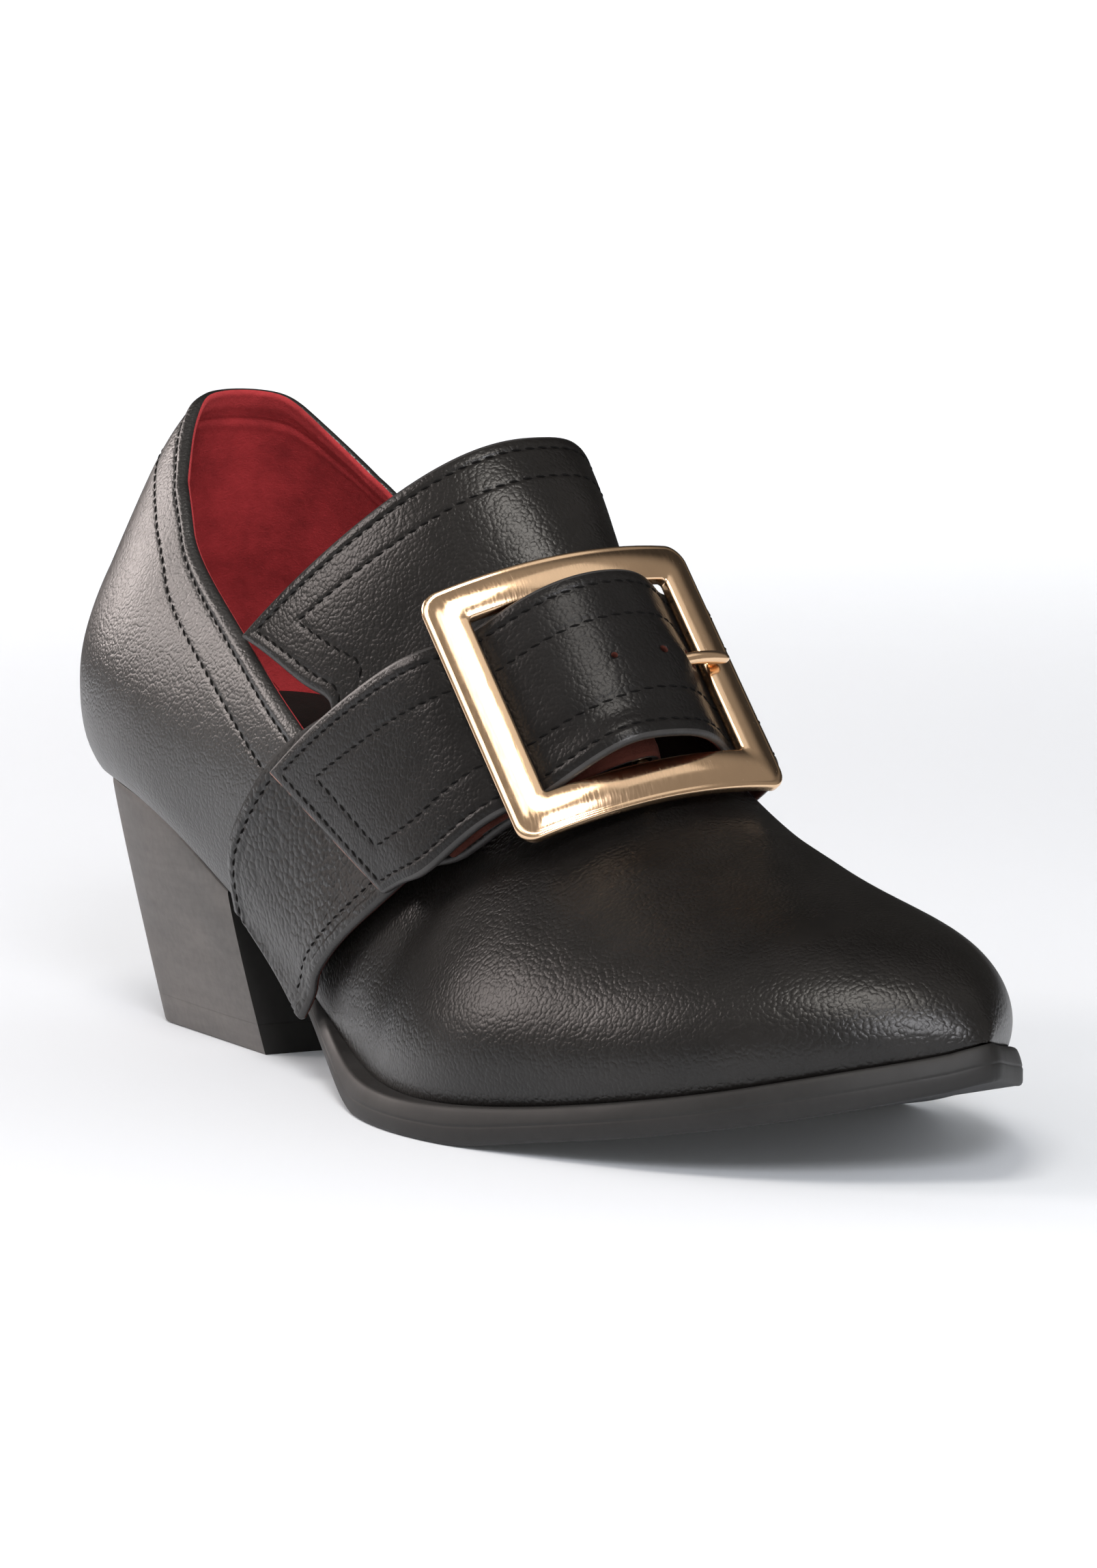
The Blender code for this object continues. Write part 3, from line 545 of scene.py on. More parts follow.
def leather(name, colour, rough, cell=1000.0, depth=0.00016, strength=0.55, fold=(1, 1, 1), wear=1.0, gloss=0.4):
    """Pebbled, finished leather: cells about a millimetre wide, finer pores, faint uneven gloss."""
    m, t, b = shader(name, colour, rough, Specular_IOR_Level=gloss)
    v = coords(t)
    w = coords(t, fold)
    warp = node(t, "ShaderNodeTexNoise", Scale=cell * 0.35, Detail=2.0)
    t.links.new(v, warp.inputs["Vector"])
    add = node(t, "ShaderNodeVectorMath", operation="MULTIPLY_ADD")
    add.inputs[1].default_value = (0.0009,) * 3
    t.links.new(warp.outputs["Color"], add.inputs[0])
    t.links.new(w, add.inputs[2])
    cells = node(t, "ShaderNodeTexVoronoi", feature="SMOOTH_F1", Scale=cell, Smoothness=0.35)
    t.links.new(add.outputs[0], cells.inputs["Vector"])
    pebble = ramp(t, cells.outputs["Distance"], [(0.05, grey(1.0)), (0.45, grey(0.72)), (0.8, grey(0.0))])
    fine = noise(t, v, cell * 3.2, 3.0)
    broad = noise(t, w, cell * 0.16, 4.0, 0.6)
    h = math_node(t, "MULTIPLY_ADD", fine, 0.30)
    t.links.new(pebble, h.node.inputs[2])
    h2 = math_node(t, "MULTIPLY_ADD", broad, 0.9)
    t.links.new(h, h2.node.inputs[2])
    height(t, b, h2, depth, strength)
    # uneven gloss, and a faint tone that varies at random
    patch = noise(t, v, 28.0, 4.0, 0.6)
    r = ramp(t, patch, [(0.30, grey(max(0.05, rough - 0.06))), (0.70, grey(rough + 0.07))])
    t.links.new(r, b.inputs["Roughness"])
    tone = noise(t, v, 60.0, 5.0, 0.65)
    c = ramp(t, tone, [(0.35, tuple(0.80 * k for k in colour)), (0.75, tuple((1 + 0.55 * wear) * k for k in colour))])
    t.links.new(c, b.inputs["Base Color"])
    return m


def suede(name, colour, rough, sheen, scale=2600.0):
    """Napped textile: short directionless fibres and soft cloudy tone."""
    m, t, b = shader(name, colour, rough, Sheen_Weight=sheen, Sheen_Roughness=0.45, Specular_IOR_Level=0.15)
    b.inputs["Sheen Tint"].default_value = (*[min(1.0, 2.2 * k + 0.05) for k in colour], 1)
    v = coords(t)
    fibre = noise(t, v, scale, 4.0, 0.7)
    weave = noise(t, v, scale * 0.3, 3.0, 0.6)
    h = math_node(t, "MULTIPLY_ADD", weave, 0.8)
    t.links.new(fibre, h.node.inputs[2])
    height(t, b, h, 0.00030, 0.7)
    cloud = noise(t, v, 90.0, 5.0, 0.65)
    c = ramp(t, cloud, [(0.30, tuple(0.62 * k for k in colour)), (0.52, colour), (0.78, tuple(1.35 * k for k in colour))])
    t.links.new(c, b.inputs["Base Color"])
    return m


def rubber(name, colour, rough, streaks=0.0, tilt=0.0):
    """Moulded compound, matt and faintly mottled; streaks draws the brushed, layered side of a stacked heel."""
    m, t, b = shader(name, colour, rough, Specular_IOR_Level=0.4)
    v = coords(t)
    spots = noise(t, v, 700.0, 4.0, 0.6)
    cloud = noise(t, v, 55.0, 4.0, 0.6)
    tone = math_node(t, "MULTIPLY_ADD", spots, 0.5)
    t.links.new(cloud, tone.node.inputs[2])
    if streaks:
        n = node(t, "ShaderNodeTexCoord")
        mp = node(t, "ShaderNodeMapping")
        mp.inputs["Rotation"].default_value = (0, tilt, 0)
        mp.inputs["Scale"].default_value = (1.0, 1.0, 9.0)
        t.links.new(n.outputs["Object"], mp.inputs["Vector"])
        grain = noise(t, mp.outputs["Vector"], streaks, 4.0, 0.6)
        tone2 = math_node(t, "MULTIPLY_ADD", grain, 0.45)
        t.links.new(tone, tone2.node.inputs[2])
        tone = math_node(t, "SUBTRACT", tone2, 0.2)
    c = ramp(t, tone, [(0.45, tuple(0.72 * k for k in colour)), (1.0, tuple(1.35 * k for k in colour))])
    t.links.new(c, b.inputs["Base Color"])
    height(t, b, tone, 0.00010, 0.35)
    r = ramp(t, cloud, [(0.3, grey(rough - 0.08)), (0.7, grey(rough + 0.08))])
    t.links.new(r, b.inputs["Roughness"])
    return m


def metal(name, colour, rough):
    """Polished plated metal with hairline wear."""
    m, t, b = shader(name, colour, rough, Metallic=1.0)
    v = coords(t)
    hair = noise(t, coords(t, (1.0, 9.0, 1.0)), 420.0, 4.0, 0.6)
    cloud = noise(t, v, 120.0, 3.0, 0.6)
    r = ramp(t, hair, [(0.35, grey(rough * 0.75)), (0.75, grey(rough * 1.9))])
    t.links.new(r, b.inputs["Roughness"])
    c = ramp(t, cloud, [(0.3, tuple(0.93 * k for k in colour)), (0.7, colour)])
    t.links.new(c, b.inputs["Base Color"])
    height(t, b, hair, 0.00002, 0.12)
    return m


def thread(name, colour, rough):
    m, t, b = shader(name, colour, rough, Specular_IOR_Level=0.12)
    v = coords(t)
    ply = noise(t, v, 5200.0, 2.0)
    height(t, b, ply, 0.00008, 0.6)
    c = ramp(t, noise(t, v, 300.0, 3.0), [(0.3, tuple(0.7 * k for k in colour)), (0.7, tuple(1.3 * k for k in colour))])
    t.links.new(c, b.inputs["Base Color"])
    return m


VAMP = leather("vamp_leather", (0.0075, 0.0066, 0.0060), 0.295, 1500.0, 0.00012, 0.42)
COUNTER_SKIN = leather("quarter_leather", (0.0090, 0.0081, 0.0075), 0.34, 1600.0, 0.00013, 0.46, gloss=0.95)
STRAP = leather("strap_leather", (0.0070, 0.0063, 0.0060), 0.34, 1500.0, 0.00012, 0.42, gloss=0.26)
PEBBLE = leather("latchet_leather", (0.0080, 0.0072, 0.0067), 0.31, 900.0, 0.00026, 0.55, gloss=0.42)
# edge colour, about four times lighter than the leather: partly real edge paint, partly a painted highlight where the
# cut edge catches the light
EDGE_PAINT_AND_HIGHLIGHT = leather("edge_paint_and_painted_highlight", (0.030, 0.028, 0.027), 0.42, 1800.0, 0.00006, 0.35)
LINING = suede("red_lining", (0.37, 0.034, 0.037), 0.85, 0.35)
BACKING = suede("strap_backing", (0.075, 0.021, 0.014), 0.85, 0.15)


def raw_edge(name):
    m, t, b = shader(name, (0.03, 0.026, 0.024), 0.7, Specular_IOR_Level=0.25)
    v = coords(t)
    worn = noise(t, v, 170.0, 3.0, 0.6)
    c = ramp(t, worn, [(0.44, (0.034, 0.030, 0.028)), (0.53, (0.20, 0.105, 0.085)), (0.66, (0.34, 0.19, 0.15))])
    t.links.new(c, b.inputs["Base Color"])
    height(t, b, noise(t, v, 2400.0, 4.0, 0.7), 0.0003, 0.6)
    return m


RAW = raw_edge("raw_edge")
SOLE_LOW = rubber("sole_rubber", (0.0120, 0.0112, 0.0108), 0.58)
SOLE_TOP = rubber("sole_bevel", (0.0120, 0.0112, 0.0106), 0.55)
STACK = rubber("heel_stack", (0.088, 0.080, 0.075), 0.60, 70.0, 0.10)
# near-black colour on the heel's breast face: painted shade from the shoe's arch above it, not the stack's own colour
BREAST_PAINTED_SHADE = rubber("heel_breast_painted_shade", (0.012, 0.011, 0.010), 0.75)
SEAT = suede("insole_sock", (0.012, 0.011, 0.010), 0.9, 0.1)
GOLD = metal("buckle_metal", (0.94, 0.65, 0.41), 0.15)
THREAD = thread("dark_thread", (0.0045, 0.0042, 0.0040), 0.85)
RED_THREAD = thread("red_thread", (0.30, 0.020, 0.024), 0.7)

# ---------------------------------------------------------------- vamp and tongue

ROW_1, ROW_2 = 2.0, 8.3             # stitch rows, distance from the edge


def vamp_sheet(xs, js):
    """Outer face: rows named by feather x, columns from the lateral edge (0) to the medial one (1)."""
    x, j = np.meshgrid(xs, js, indexing="ij")
    lo = np.arcsin(vamp_edge(x))
    a = lo + (np.pi - 2 * lo) * j
    h = np.clip(np.sin(a), 0, 1)
    xf = x - TONGUE_FLARE * (1 - h) * step(x, 68, TONGUE_X)
    p = np.where((a <= np.pi / 2)[..., None], fan(xf, h, -1), fan(xf, h, 1))
    return p, xf, h, a


xs = np.concatenate([245 - 25 * np.linspace(0, 1, 40) ** 2, np.linspace(219.2, 92, 150), np.linspace(91.4, 64.5, 46),
                     TONGUE_X + 16 * np.linspace(1, 0, 52) ** 1.25])
_t = np.linspace(0, 1, 125)
js = _t - 0.62 / (2 * np.pi) * np.sin(2 * np.pi * _t)
P, XF, H, A = vamp_sheet(xs, js)
N = sheet_normal(P)
if (N[200, 60] @ np.array([0.3, 0, 1.0])) < 0:
    N = -N
N[0] = (1.0, 0.0, 0.0)
cross = np.linalg.norm(np.diff(P, axis=1), axis=-1)
d_lat = np.concatenate([np.zeros((len(xs), 1)), np.cumsum(cross, 1)], 1)
d_med = d_lat[:, -1:] - d_lat
run = np.linalg.norm(np.diff(P, axis=0), axis=-1)
d_top = np.concatenate([np.cumsum(run[::-1], 0)[::-1], np.zeros((1, len(js)))], 0)
TONGUE = (xs < 76)[:, None]
d_edge = np.where(TONGUE, np.minimum(np.minimum(d_lat, d_med), d_top), 99.0)
disp = -0.16 * bump(d_edge, ROW_1, 0.42) - 0.16 * bump(d_edge, ROW_2, 0.42)
disp += np.where(d_edge < ROW_1, 0.10 * np.sin(np.pi * np.clip(d_edge / ROW_1, 0, 1)), 0)

# creases, listed: feather x and height fraction of both ends, side, width, depth
CREASES = [
    (152, 0.97, 157, 0.75, -1, 5.0, -0.12), (160, 0.97, 166, 0.76, -1, 5.0, 0.08),
    (117, 0.80, 122, 0.52, -1, 7.5, -0.70), (122, 0.46, 124, 0.30, -1, 7.0, -0.40), (134, 0.56, 150, 0.48, -1, 4.0, 0.06),
    (150, 0.97, 158, 0.70, 1, 5.0, -0.14), (158, 0.97, 166, 0.70, 1, 5.0, 0.10)]
for x0, h0, x1, h1, side, w, deep in CREASES:
    hs, us = np.linspace(h0, h1, 21), np.linspace(x0, x1, 21)
    a = fan(us, hs, side)
    d = np.min(np.linalg.norm(P[:, :, None] - a[None, None], axis=-1), axis=2)
    disp += deep * np.exp(-(d / w) ** 2)
OUT = P + N * disp[..., None]
IN = P - N * (WALL * np.clip(np.arange(len(xs)) / 14, 0.08, 1))[:, None, None]
pts, f, fi, kind, col = slab(OUT, IN, 4, (False, True))
index = np.where((kind == 2), 1, 0)
index = np.where((kind == 2) & ((fi > len(xs) - 12) | (fi < 30)), 0, index)
# rims and end of the tongue take the edge colour with its painted highlight
index = np.where(((kind == 1) | (kind == 3) | (kind == 4)) & (fi > len(xs) - 90), 2, index)
vamp = piece("vamp_with_tongue", pts, f, [VAMP, LINING, EDGE_PAINT_AND_HIGHLIGHT], index, ("upper",))


def edge_rows(p, nrm, d_a, d_b, d_end, delta, keep):
    """Path at a fixed distance from one side, the end and the other side of a sheet, and its normals."""
    rows = np.where(keep)[0]
    out = []
    for d in (d_a, d_b):
        line = []
        for i in rows:
            o = np.argsort(d[i])
            q = [np.interp(delta, d[i][o], arr[i][o][:, k]) for arr in (p, nrm) for k in range(3)]
            if np.interp(delta, d[i][o], d_end[i][o]) >= delta:
                line.append(q)
        out.append(np.array(line))
    top = []
    for j in range(p.shape[1]):
        o = np.argsort(d_end[:, j])
        if np.interp(delta, d_end[o, j], d_a[o, j]) >= delta and np.interp(delta, d_end[o, j], d_b[o, j]) >= delta:
            top.append([np.interp(delta, d_end[o, j], arr[o, j][:, k]) for arr in (p, nrm) for k in range(3)])
    return out[0], np.array(top), out[1]


runs = []
for delta in (ROW_1, ROW_2):
    for q in edge_rows(OUT, N, d_lat, d_med, d_top, delta, xs < 73):
        if len(q) > 3:
            runs.append((q[:, :3], q[:, 3:]))
tongue_rows = stitches("tongue_stitches", runs, THREAD)

# ---------------------------------------------------------------- quarters

u = np.concatenate([np.linspace(turn(90.6), 0, 170), np.linspace(0, turn(90.6), 170)[1:]])
side_of = np.concatenate([-np.ones(170), np.ones(169)])
near = np.concatenate([np.linspace(0, 10.2, 40), 10.2 + 3 * np.linspace(0, 1, 5)[1:]])
rest = np.linspace(0, 1, 40)[1:]
rows, depth_rows = [], []
for k, side in zip(u, side_of):
    x = unturn(k)
    total = float(topline(x))
    s = min(1.0, total / 20)
    d = np.concatenate([near * s, near[-1] * s + (total - near[-1] * s) * rest])
    rows.append(quarter(x, 0.2 + (total - d)[::-1], int(side)))
    depth_rows.append(d[::-1])
P, D = np.array(rows), np.array(depth_rows)
N = sheet_normal(P)
if np.mean(np.sum(N * (P - np.array([45, 0, 60.0])), -1)) < 0:
    N = -N
disp = -0.20 * bump(D, ROW_1, 0.5) - 0.15 * bump(D, ROW_2, 0.45)
disp += np.where(D < ROW_1, 0.32 * np.sin(np.pi * np.clip(D / ROW_1, 0, 1)), 0)
fade = step(np.abs(np.arange(len(u)) - 169.0), 169, 150)[:, None]
OUT = P + N * (disp * fade)[..., None]
thick = WALL + 0.30 * bump(D, 1.6, 1.1) - 0.25 * bump(D, 4.3, 0.5) + 0.15 * bump(D, 5.4, 0.8)
IN = P - N * thick[..., None]
pts, f, fi, kind, col = slab(OUT, IN, 5)
index = np.where((kind == 2) | ((kind == 1) & (col >= 3)), 1, 0)
quarters = piece("quarters", pts, f, [COUNTER_SKIN, LINING], index, ("upper",))
runs = []
for delta in (ROW_1, ROW_2):
    path, nrm = [], []
    for i in range(len(u)):
        if unturn(u[i]) > 76:
            continue
        s = min(1.0, float(topline(unturn(u[i]))) / 20)
        path.append([np.interp(delta, D[i][::-1], OUT[i][::-1, k]) for k in range(3)])
        nrm.append([np.interp(delta, D[i][::-1], N[i][::-1, k]) for k in range(3)])
    runs.append((np.array(path), np.array(nrm)))
stitches("topline_stitches", runs, THREAD)

# loose red threads where the lining's cut edge meets the lateral topline: feather x, length, droop, lean
FRAYS = [
    (47.0, 3.2, 0.3, 0.5), (49.0, 4.6, 0.6, 0.2), (50.6, 3.0, 0.2, 0.9), (52.4, 4.2, 0.9, 0.1), (54.5, 2.6, 0.2, 0.6),
    (57.4, 3.8, 0.5, 0.7), (59.0, 2.4, 0.6, 0.0), (60.8, 4.0, 0.2, 0.8), (62.0, 2.6, 0.8, 0.3), (63.5, 3.6, 0.4, 0.6),
    (65.0, 2.8, 0.6, 0.1), (66.2, 3.4, 0.3, 0.9), (67.6, 2.4, 0.7, 0.4)]
fp, ff, base = [], [], 0
for x, long, droop, lean in FRAYS:
    i = int(np.argmin(np.abs(unturn(u[:170]) - x)))
    k = int(np.argmin(np.abs(D[i] - 0.8)))
    start, inward = IN[i, k], -N[i, k]
    tang = unit(IN[i - 2, k] - IN[i + 2, k])
    s = np.linspace(0, 1, 9)[:, None]
    path = start + inward * (long * s - 0.3) + tang * lean * long * s ** 2 - np.array([0, 0, 1.0]) * droop * long * s ** 2
    q, g = tube(path, 0.11 * (1 - 0.5 * s[:, 0]), 6, up=np.array([0, 0, 1.0]))
    fp.append(q.reshape(-1, 3))
    ff += [tuple(int(v) + base for v in e) for e in g]
    base += 54
piece("lining_frays", np.concatenate(fp), ff, [RED_THREAD], weld=0)

# ---------------------------------------------------------------- straps

W5 = np.linspace(0, 1, 5)


def on_upper(row, side, extra=0.0):
    h, rear, front, off_r, off_f = row
    x = rear + (front - rear) * W5
    off = off_r + (off_f - off_r) * W5 + extra
    return fan(x, h, side) + off[:, None] * fan_normal(x, h, side)


def by_bar(row, extra=0.0):
    s, n, mid, wide = row
    return at_buckle(s, n + extra, mid + wide * (1 - 2 * W5))


def hem(row):
    """Lower end of a strap, carried down to the edge of the sole, with its front corner drawn back."""
    return row + np.stack([-2.6 * W5 ** 3, 0 * W5, -0.15 - 2.6 * (1 - (1 - W5) ** 2)], -1)


def strip_sheet(rows, spacing, across):
    """Fine centre sheet through rows of five points."""
    rows = np.asarray(rows, float)
    d = along(rows[:, 2])
    s = np.linspace(0, d[-1], int(d[-1] / spacing) + 1)
    cols = np.stack([np.stack([curve(d, rows[:, j, a])(s) for a in range(3)], -1) for j in range(rows.shape[1])], 1)
    _t = np.linspace(0, 1, across)
    w = _t - 0.55 / (2 * np.pi) * np.sin(2 * np.pi * _t)
    base = np.eye(5)
    weights = np.stack([curve(W5, base[k])(w) for k in range(5)], 1)
    fine = np.einsum("wk,skc->swc", weights, cols)
    return fine, s


def strap(name, rows, sign, nodes, tail, stitch_rows, skin, shape=None):
    c, s = strip_sheet(rows, 0.7, 57)
    if shape is not None:
        c = shape(c)
    n = sign * sheet_normal(c)
    width = np.linalg.norm(np.diff(c, axis=1), axis=-1)
    d_a = np.concatenate([np.zeros((len(s), 1)), np.cumsum(width, 1)], 1)
    d_b = d_a[:, -1:] - d_a
    length = np.linalg.norm(np.diff(c, axis=0), axis=-1)
    d_e = np.concatenate([np.cumsum(length[::-1], 0)[::-1], np.zeros((1, c.shape[1]))], 0)
    e = np.minimum(d_a, d_b)
    if tail:
        e = np.minimum(e, d_e)
    thick = STRAP_T / 2 * (1 - 0.22 * np.exp(-(e / 0.9) ** 2))
    disp = -sum(0.16 * bump(e, k, 0.42) for k in stitch_rows)
    disp += np.where(e < ROW_1, 0.08 * np.sin(np.pi * np.clip(e / ROW_1, 0, 1)), 0)
    out, inn = c + n * (thick + disp)[..., None], c - n * thick[..., None]
    pts, f, fi, kind, col = slab(out, inn, 4)
    index = np.where(kind == 2, 1, 0)
    # rims take the edge colour with its painted highlight
    index = np.where((kind == 1) | (kind == 3), 3, index)
    index = np.where((kind == 1) & (col >= 3), 1, index)
    if not tail:
        index = np.where(((kind == 1) & (fi > len(s) - 13)) | ((kind == 4) & (fi > 9)), 1, index)
    if tail:
        index = np.where((kind == 4) & (fi >= len(s) - 1), 2, index)
    ob = piece(name, pts, f, [skin, BACKING, RAW, EDGE_PAINT_AND_HIGHLIGHT], index, nodes)
    return ob, out, n, d_a, d_b, d_e, s


loop_r = BAR_R + GAP + STRAP_T / 2
rows = [on_upper(r, -1) for r in LATERAL_STRAP] + [by_bar(r) for r in LATERAL_LOOP]
rows.insert(0, hem(rows[0]))
for a in (-90, -40, 10, 60, 110):
    rows.append(at_buckle(loop_r * np.cos(np.radians(a)), BAR_N + loop_r * np.sin(np.radians(a)), 15.2 * (1 - 2 * W5)))
FOLD = STRAP_T + GAP + 0.05


def raised(rows, d):
    r = np.asarray(rows, float)
    n = np.cross(np.gradient(r, axis=0), np.gradient(r, axis=1))
    return r - d * n / np.linalg.norm(n, axis=-1, keepdims=True)


first = len(LATERAL_STRAP) + 1
back = raised(rows[:first + len(LATERAL_LOOP)], FOLD)[first:first + len(LATERAL_LOOP) - 1]
rows += list(back[::-1])
lateral, out, n, d_a, d_b, d_e, s = strap("lateral_latchet", rows, -1, ("lateral_strap",), False, (2.2, 4.2), PEBBLE)
runs = []
for delta, d in ((2.2, d_a), (4.2, d_b)):
    q = np.array([[np.interp(delta, d[i][o], arr[i][o][:, k]) for arr in (out, n) for k in range(3)]
                  for i in range(len(s)) for o in (np.argsort(d[i]),) if 1.5 < s[i] < 62])
    runs.append((q[:, :3], q[:, 3:]))
stitches("lateral_latchet_stitches", runs, THREAD)

rows = [on_upper(r, 1) for r in MEDIAL_STRAP] + [by_bar(r) for r in MEDIAL_ARCH]
rows.insert(0, hem(rows[0]))
for r in TAIL:
    a, b = np.array(r[:3]), np.array(r[3:])
    rows.append(a + (b - a) * W5[:, None])


def pulled(c):
    """The prong lifts the strap round its hole, and the edge towards the toe curls up between bar and frame."""
    q = c - np.asarray(BUCKLE_AT)
    a, b = q @ E1, q @ E2
    up = 1.1 * np.exp(-((a - 12.6) / 3.6) ** 2 - ((b - PRONG_T) / 4.5) ** 2)
    up = up + 1.6 * np.exp(-((a + 5.0) / 7.0) ** 2) * step(b, -9.0, -15.5)
    on_top = (q @ E3) > -6.0
    return c + E3 * np.where(on_top, up, 0)[..., None]


medial, out, n, d_a, d_b, d_e, s = strap("medial_latchet", rows, 1, ("medial_strap",), True, (ROW_1, ROW_2), STRAP, pulled)
runs = []
for delta in (ROW_1, ROW_2):
    for q in edge_rows(out, n, d_a, d_b, d_e, delta, s > 1.5):
        runs.append((q[:, :3], q[:, 3:]))
stitches("medial_latchet_stitches", runs, THREAD)

HOLE = [(6.5, -2.4), (13.0, -0.6), (19.0, -1.5)]
cut(medial, *tube([at_buckle(a, b, PRONG_T) for a, b in HOLE], 1.75, 16, up=E2))
slot_pts = []
for a in (-6.0, 6.0):
    for b, t in ((-12, -2.1), (4, -2.1), (4, 2.1), (-12, 2.1)):
        slot_pts.append(at_buckle(a, BAR_N + b, PRONG_T + t))
cut(lateral, slot_pts, [(0, 1, 2, 3), (4, 5, 6, 7), (0, 1, 5, 4), (1, 2, 6, 5), (2, 3, 7, 6), (3, 0, 4, 7)])
SPARE_HOLES = [(8.4, 0.70), (-0.7, 0.55)]      # where along the strap, radius
for a, r in SPARE_HOLES:
    cut(medial, *tube([at_buckle(a, b, -0.1) for b in (-1.5, 4.0, 9.0)], r, 16, up=E1))

# ---------------------------------------------------------------- buckle


def rounded(w, h, r, per_side, per_corner):
    p = []
    for cx, cy, a0 in ((1, -1, -90), (1, 1, 0), (-1, 1, 90), (-1, -1, 180)):
        for k in range(per_corner + 1):
            a = np.radians(a0 + 90 * k / per_corner)
            p.append((cx * (w / 2 - r) + r * np.cos(a), cy * (h / 2 - r) + r * np.sin(a)))
        nxt = {(1, -1): (w / 2, h / 2 - r), (1, 1): (-(w / 2 - r), h / 2), (-1, 1): (-w / 2, -(h / 2 - r)),
               (-1, -1): (w / 2 - r, -h / 2)}[(cx, cy)]
        a, b = np.array(p[-1]), np.array(nxt)
        for k in range(1, per_side):
            p.append(tuple(a + (b - a) * k / per_side))
    return np.array(p)


outer = rounded(BUCKLE_W, BUCKLE_H, 3.4, 30, 12)
inner = rounded(OPENING_W, OPENING_H, 0.7, 30, 12)
# bar profile: fraction from outer to inner edge, depth below the outer face
BAR = [(0.03, 2.50), (0.0, 2.2), (0.0, 1.30), (0.015, 0.98), (0.045, 0.80), (0.085, 0.72), (0.12, 0.73), (0.145, 0.74),
       (0.18, 0.63), (0.25, 0.42), (0.35, 0.20), (0.46, 0.06), (0.57, 0.0), (0.68, 0.02), (0.79, 0.11), (0.88, 0.25),
       (0.945, 0.40), (0.98, 0.58), (0.998, 0.90), (1.0, 1.75), (0.99, 2.25), (0.955, 2.52), (0.90, BUCKLE_T),
       (0.5, BUCKLE_T), (0.08, BUCKLE_T)]
pts = []
for a, b in zip(outer, inner):
    for fr, deep in BAR:
        x, t = a + (b - a) * fr
        r = BUCKLE_R - deep
        pts.append(at_buckle(r * np.sin(x / BUCKLE_R), r * np.cos(x / BUCKLE_R) - BUCKLE_R, t))
f, _, _ = quads(len(outer), len(BAR), True, True)
piece("buckle_frame", pts, f, [GOLD], None, ("buckle",), sharp=60)
pts, f = tube([at_buckle(0, BAR_N, t) for t in np.linspace(-19.5, 19.5, 14)], BAR_R, 20)
piece("centre_bar", pts, f, [GOLD], None, ("buckle",), sharp=50)

eye_in, eye_out, eye_half = BAR_R + GAP, BAR_R + GAP + 1.2, 1.5
pts = []
for k in range(32):
    a = 2 * np.pi * k / 32
    for r, t in ((eye_in, -eye_half), (eye_out - 0.3, -eye_half), (eye_out, -eye_half + 0.3), (eye_out, eye_half - 0.3),
                 (eye_out - 0.3, eye_half), (eye_in, eye_half)):
        pts.append(at_buckle(r * np.cos(a), BAR_N + r * np.sin(a), PRONG_T + t))
f, _, _ = quads(32, 6, True, True)
piece("prong_eye", pts, f, [GOLD], None, ("prong",), sharp=40)
PRONG_PATH = [(2.4, -3.1), (8.0, -2.0), (13.0, -0.6), (17.5, -1.1), (21.4, -2.7)]
pp = np.array(PRONG_PATH)
_d = np.linspace(0, 1, 24)
ps, pn = curve(np.linspace(0, 1, 5), pp[:, 0])(_d), curve(np.linspace(0, 1, 5), pp[:, 1])(_d)
pr = np.interp(_d, [0, 0.5, 0.85, 0.96, 1.0], [1.1, 1.15, 1.1, 0.95, 0.5])
pts, f = tube([at_buckle(a, b, PRONG_T) for a, b in zip(ps, pn)], pr, 18)
piece("prong_shaft", pts, f, [GOLD], None, ("prong",), sharp=60)

# ---------------------------------------------------------------- sole, heel, insole

k_u = np.linspace(turn(BREAST + GAP + 1.0), 1, 150)
ring = [(k, -1) for k in k_u] + [(k, 1) for k in k_u[::-1][1:]]


def sole_point(k, side, out, up):
    x = unturn(k)
    f, n = feather(x, side), plan_normal(np.clip(k, 0, 0.9995), side)
    e = sole_ledge(x, side) + out
    lo, hi = max(0.0, float(sole_z(x))) + float(twist(x, f[1])), float(f[2])
    return (f[0] + n[0] * e, f[1] + n[1] * e, lo + (hi - lo) * up)


profile = [(-1.2, 0.0), (-0.6, 0.0), (-0.25, 0.03), (-0.05, 0.09), (0.0, 0.16), (0.0, 0.30), (0.0, 0.44), (-0.10, 0.485),
           (-0.16, 0.51), (-0.10, 0.535), (-0.14, 0.58), (-0.26, 0.66), (-0.44, 0.76), (-0.66, 0.86), (-0.9, 0.94),
           (-1.15, 0.98), (-1.5, 1.0)]
rows = [[sole_point(k, side, o, up) for o, up in profile] for k, side in ring]
n_ring, n_pro = len(rows), len(profile)
f, _, j = quads(n_ring, n_pro)
faces, index = [tuple(q) for q in f], list(np.where(j >= 8, 1, 0))
for i in range(n_ring // 2):
    a, b, c, d = i, i + 1, n_ring - 2 - i, n_ring - 1 - i
    for j in (0, n_pro - 1):
        q = [a * n_pro + j, b * n_pro + j, c * n_pro + j, d * n_pro + j]
        faces.append(tuple(dict.fromkeys(q)))
        index.append(0)
faces.append(tuple([j for j in range(n_pro)] + [(n_ring - 1) * n_pro + j for j in reversed(range(n_pro))]))
index.append(0)
piece("outsole_unit", rows, faces, [SOLE_LOW, SOLE_TOP], index, ("outsole",), sharp=50)

heel_k = np.linspace(0, 1, 60)


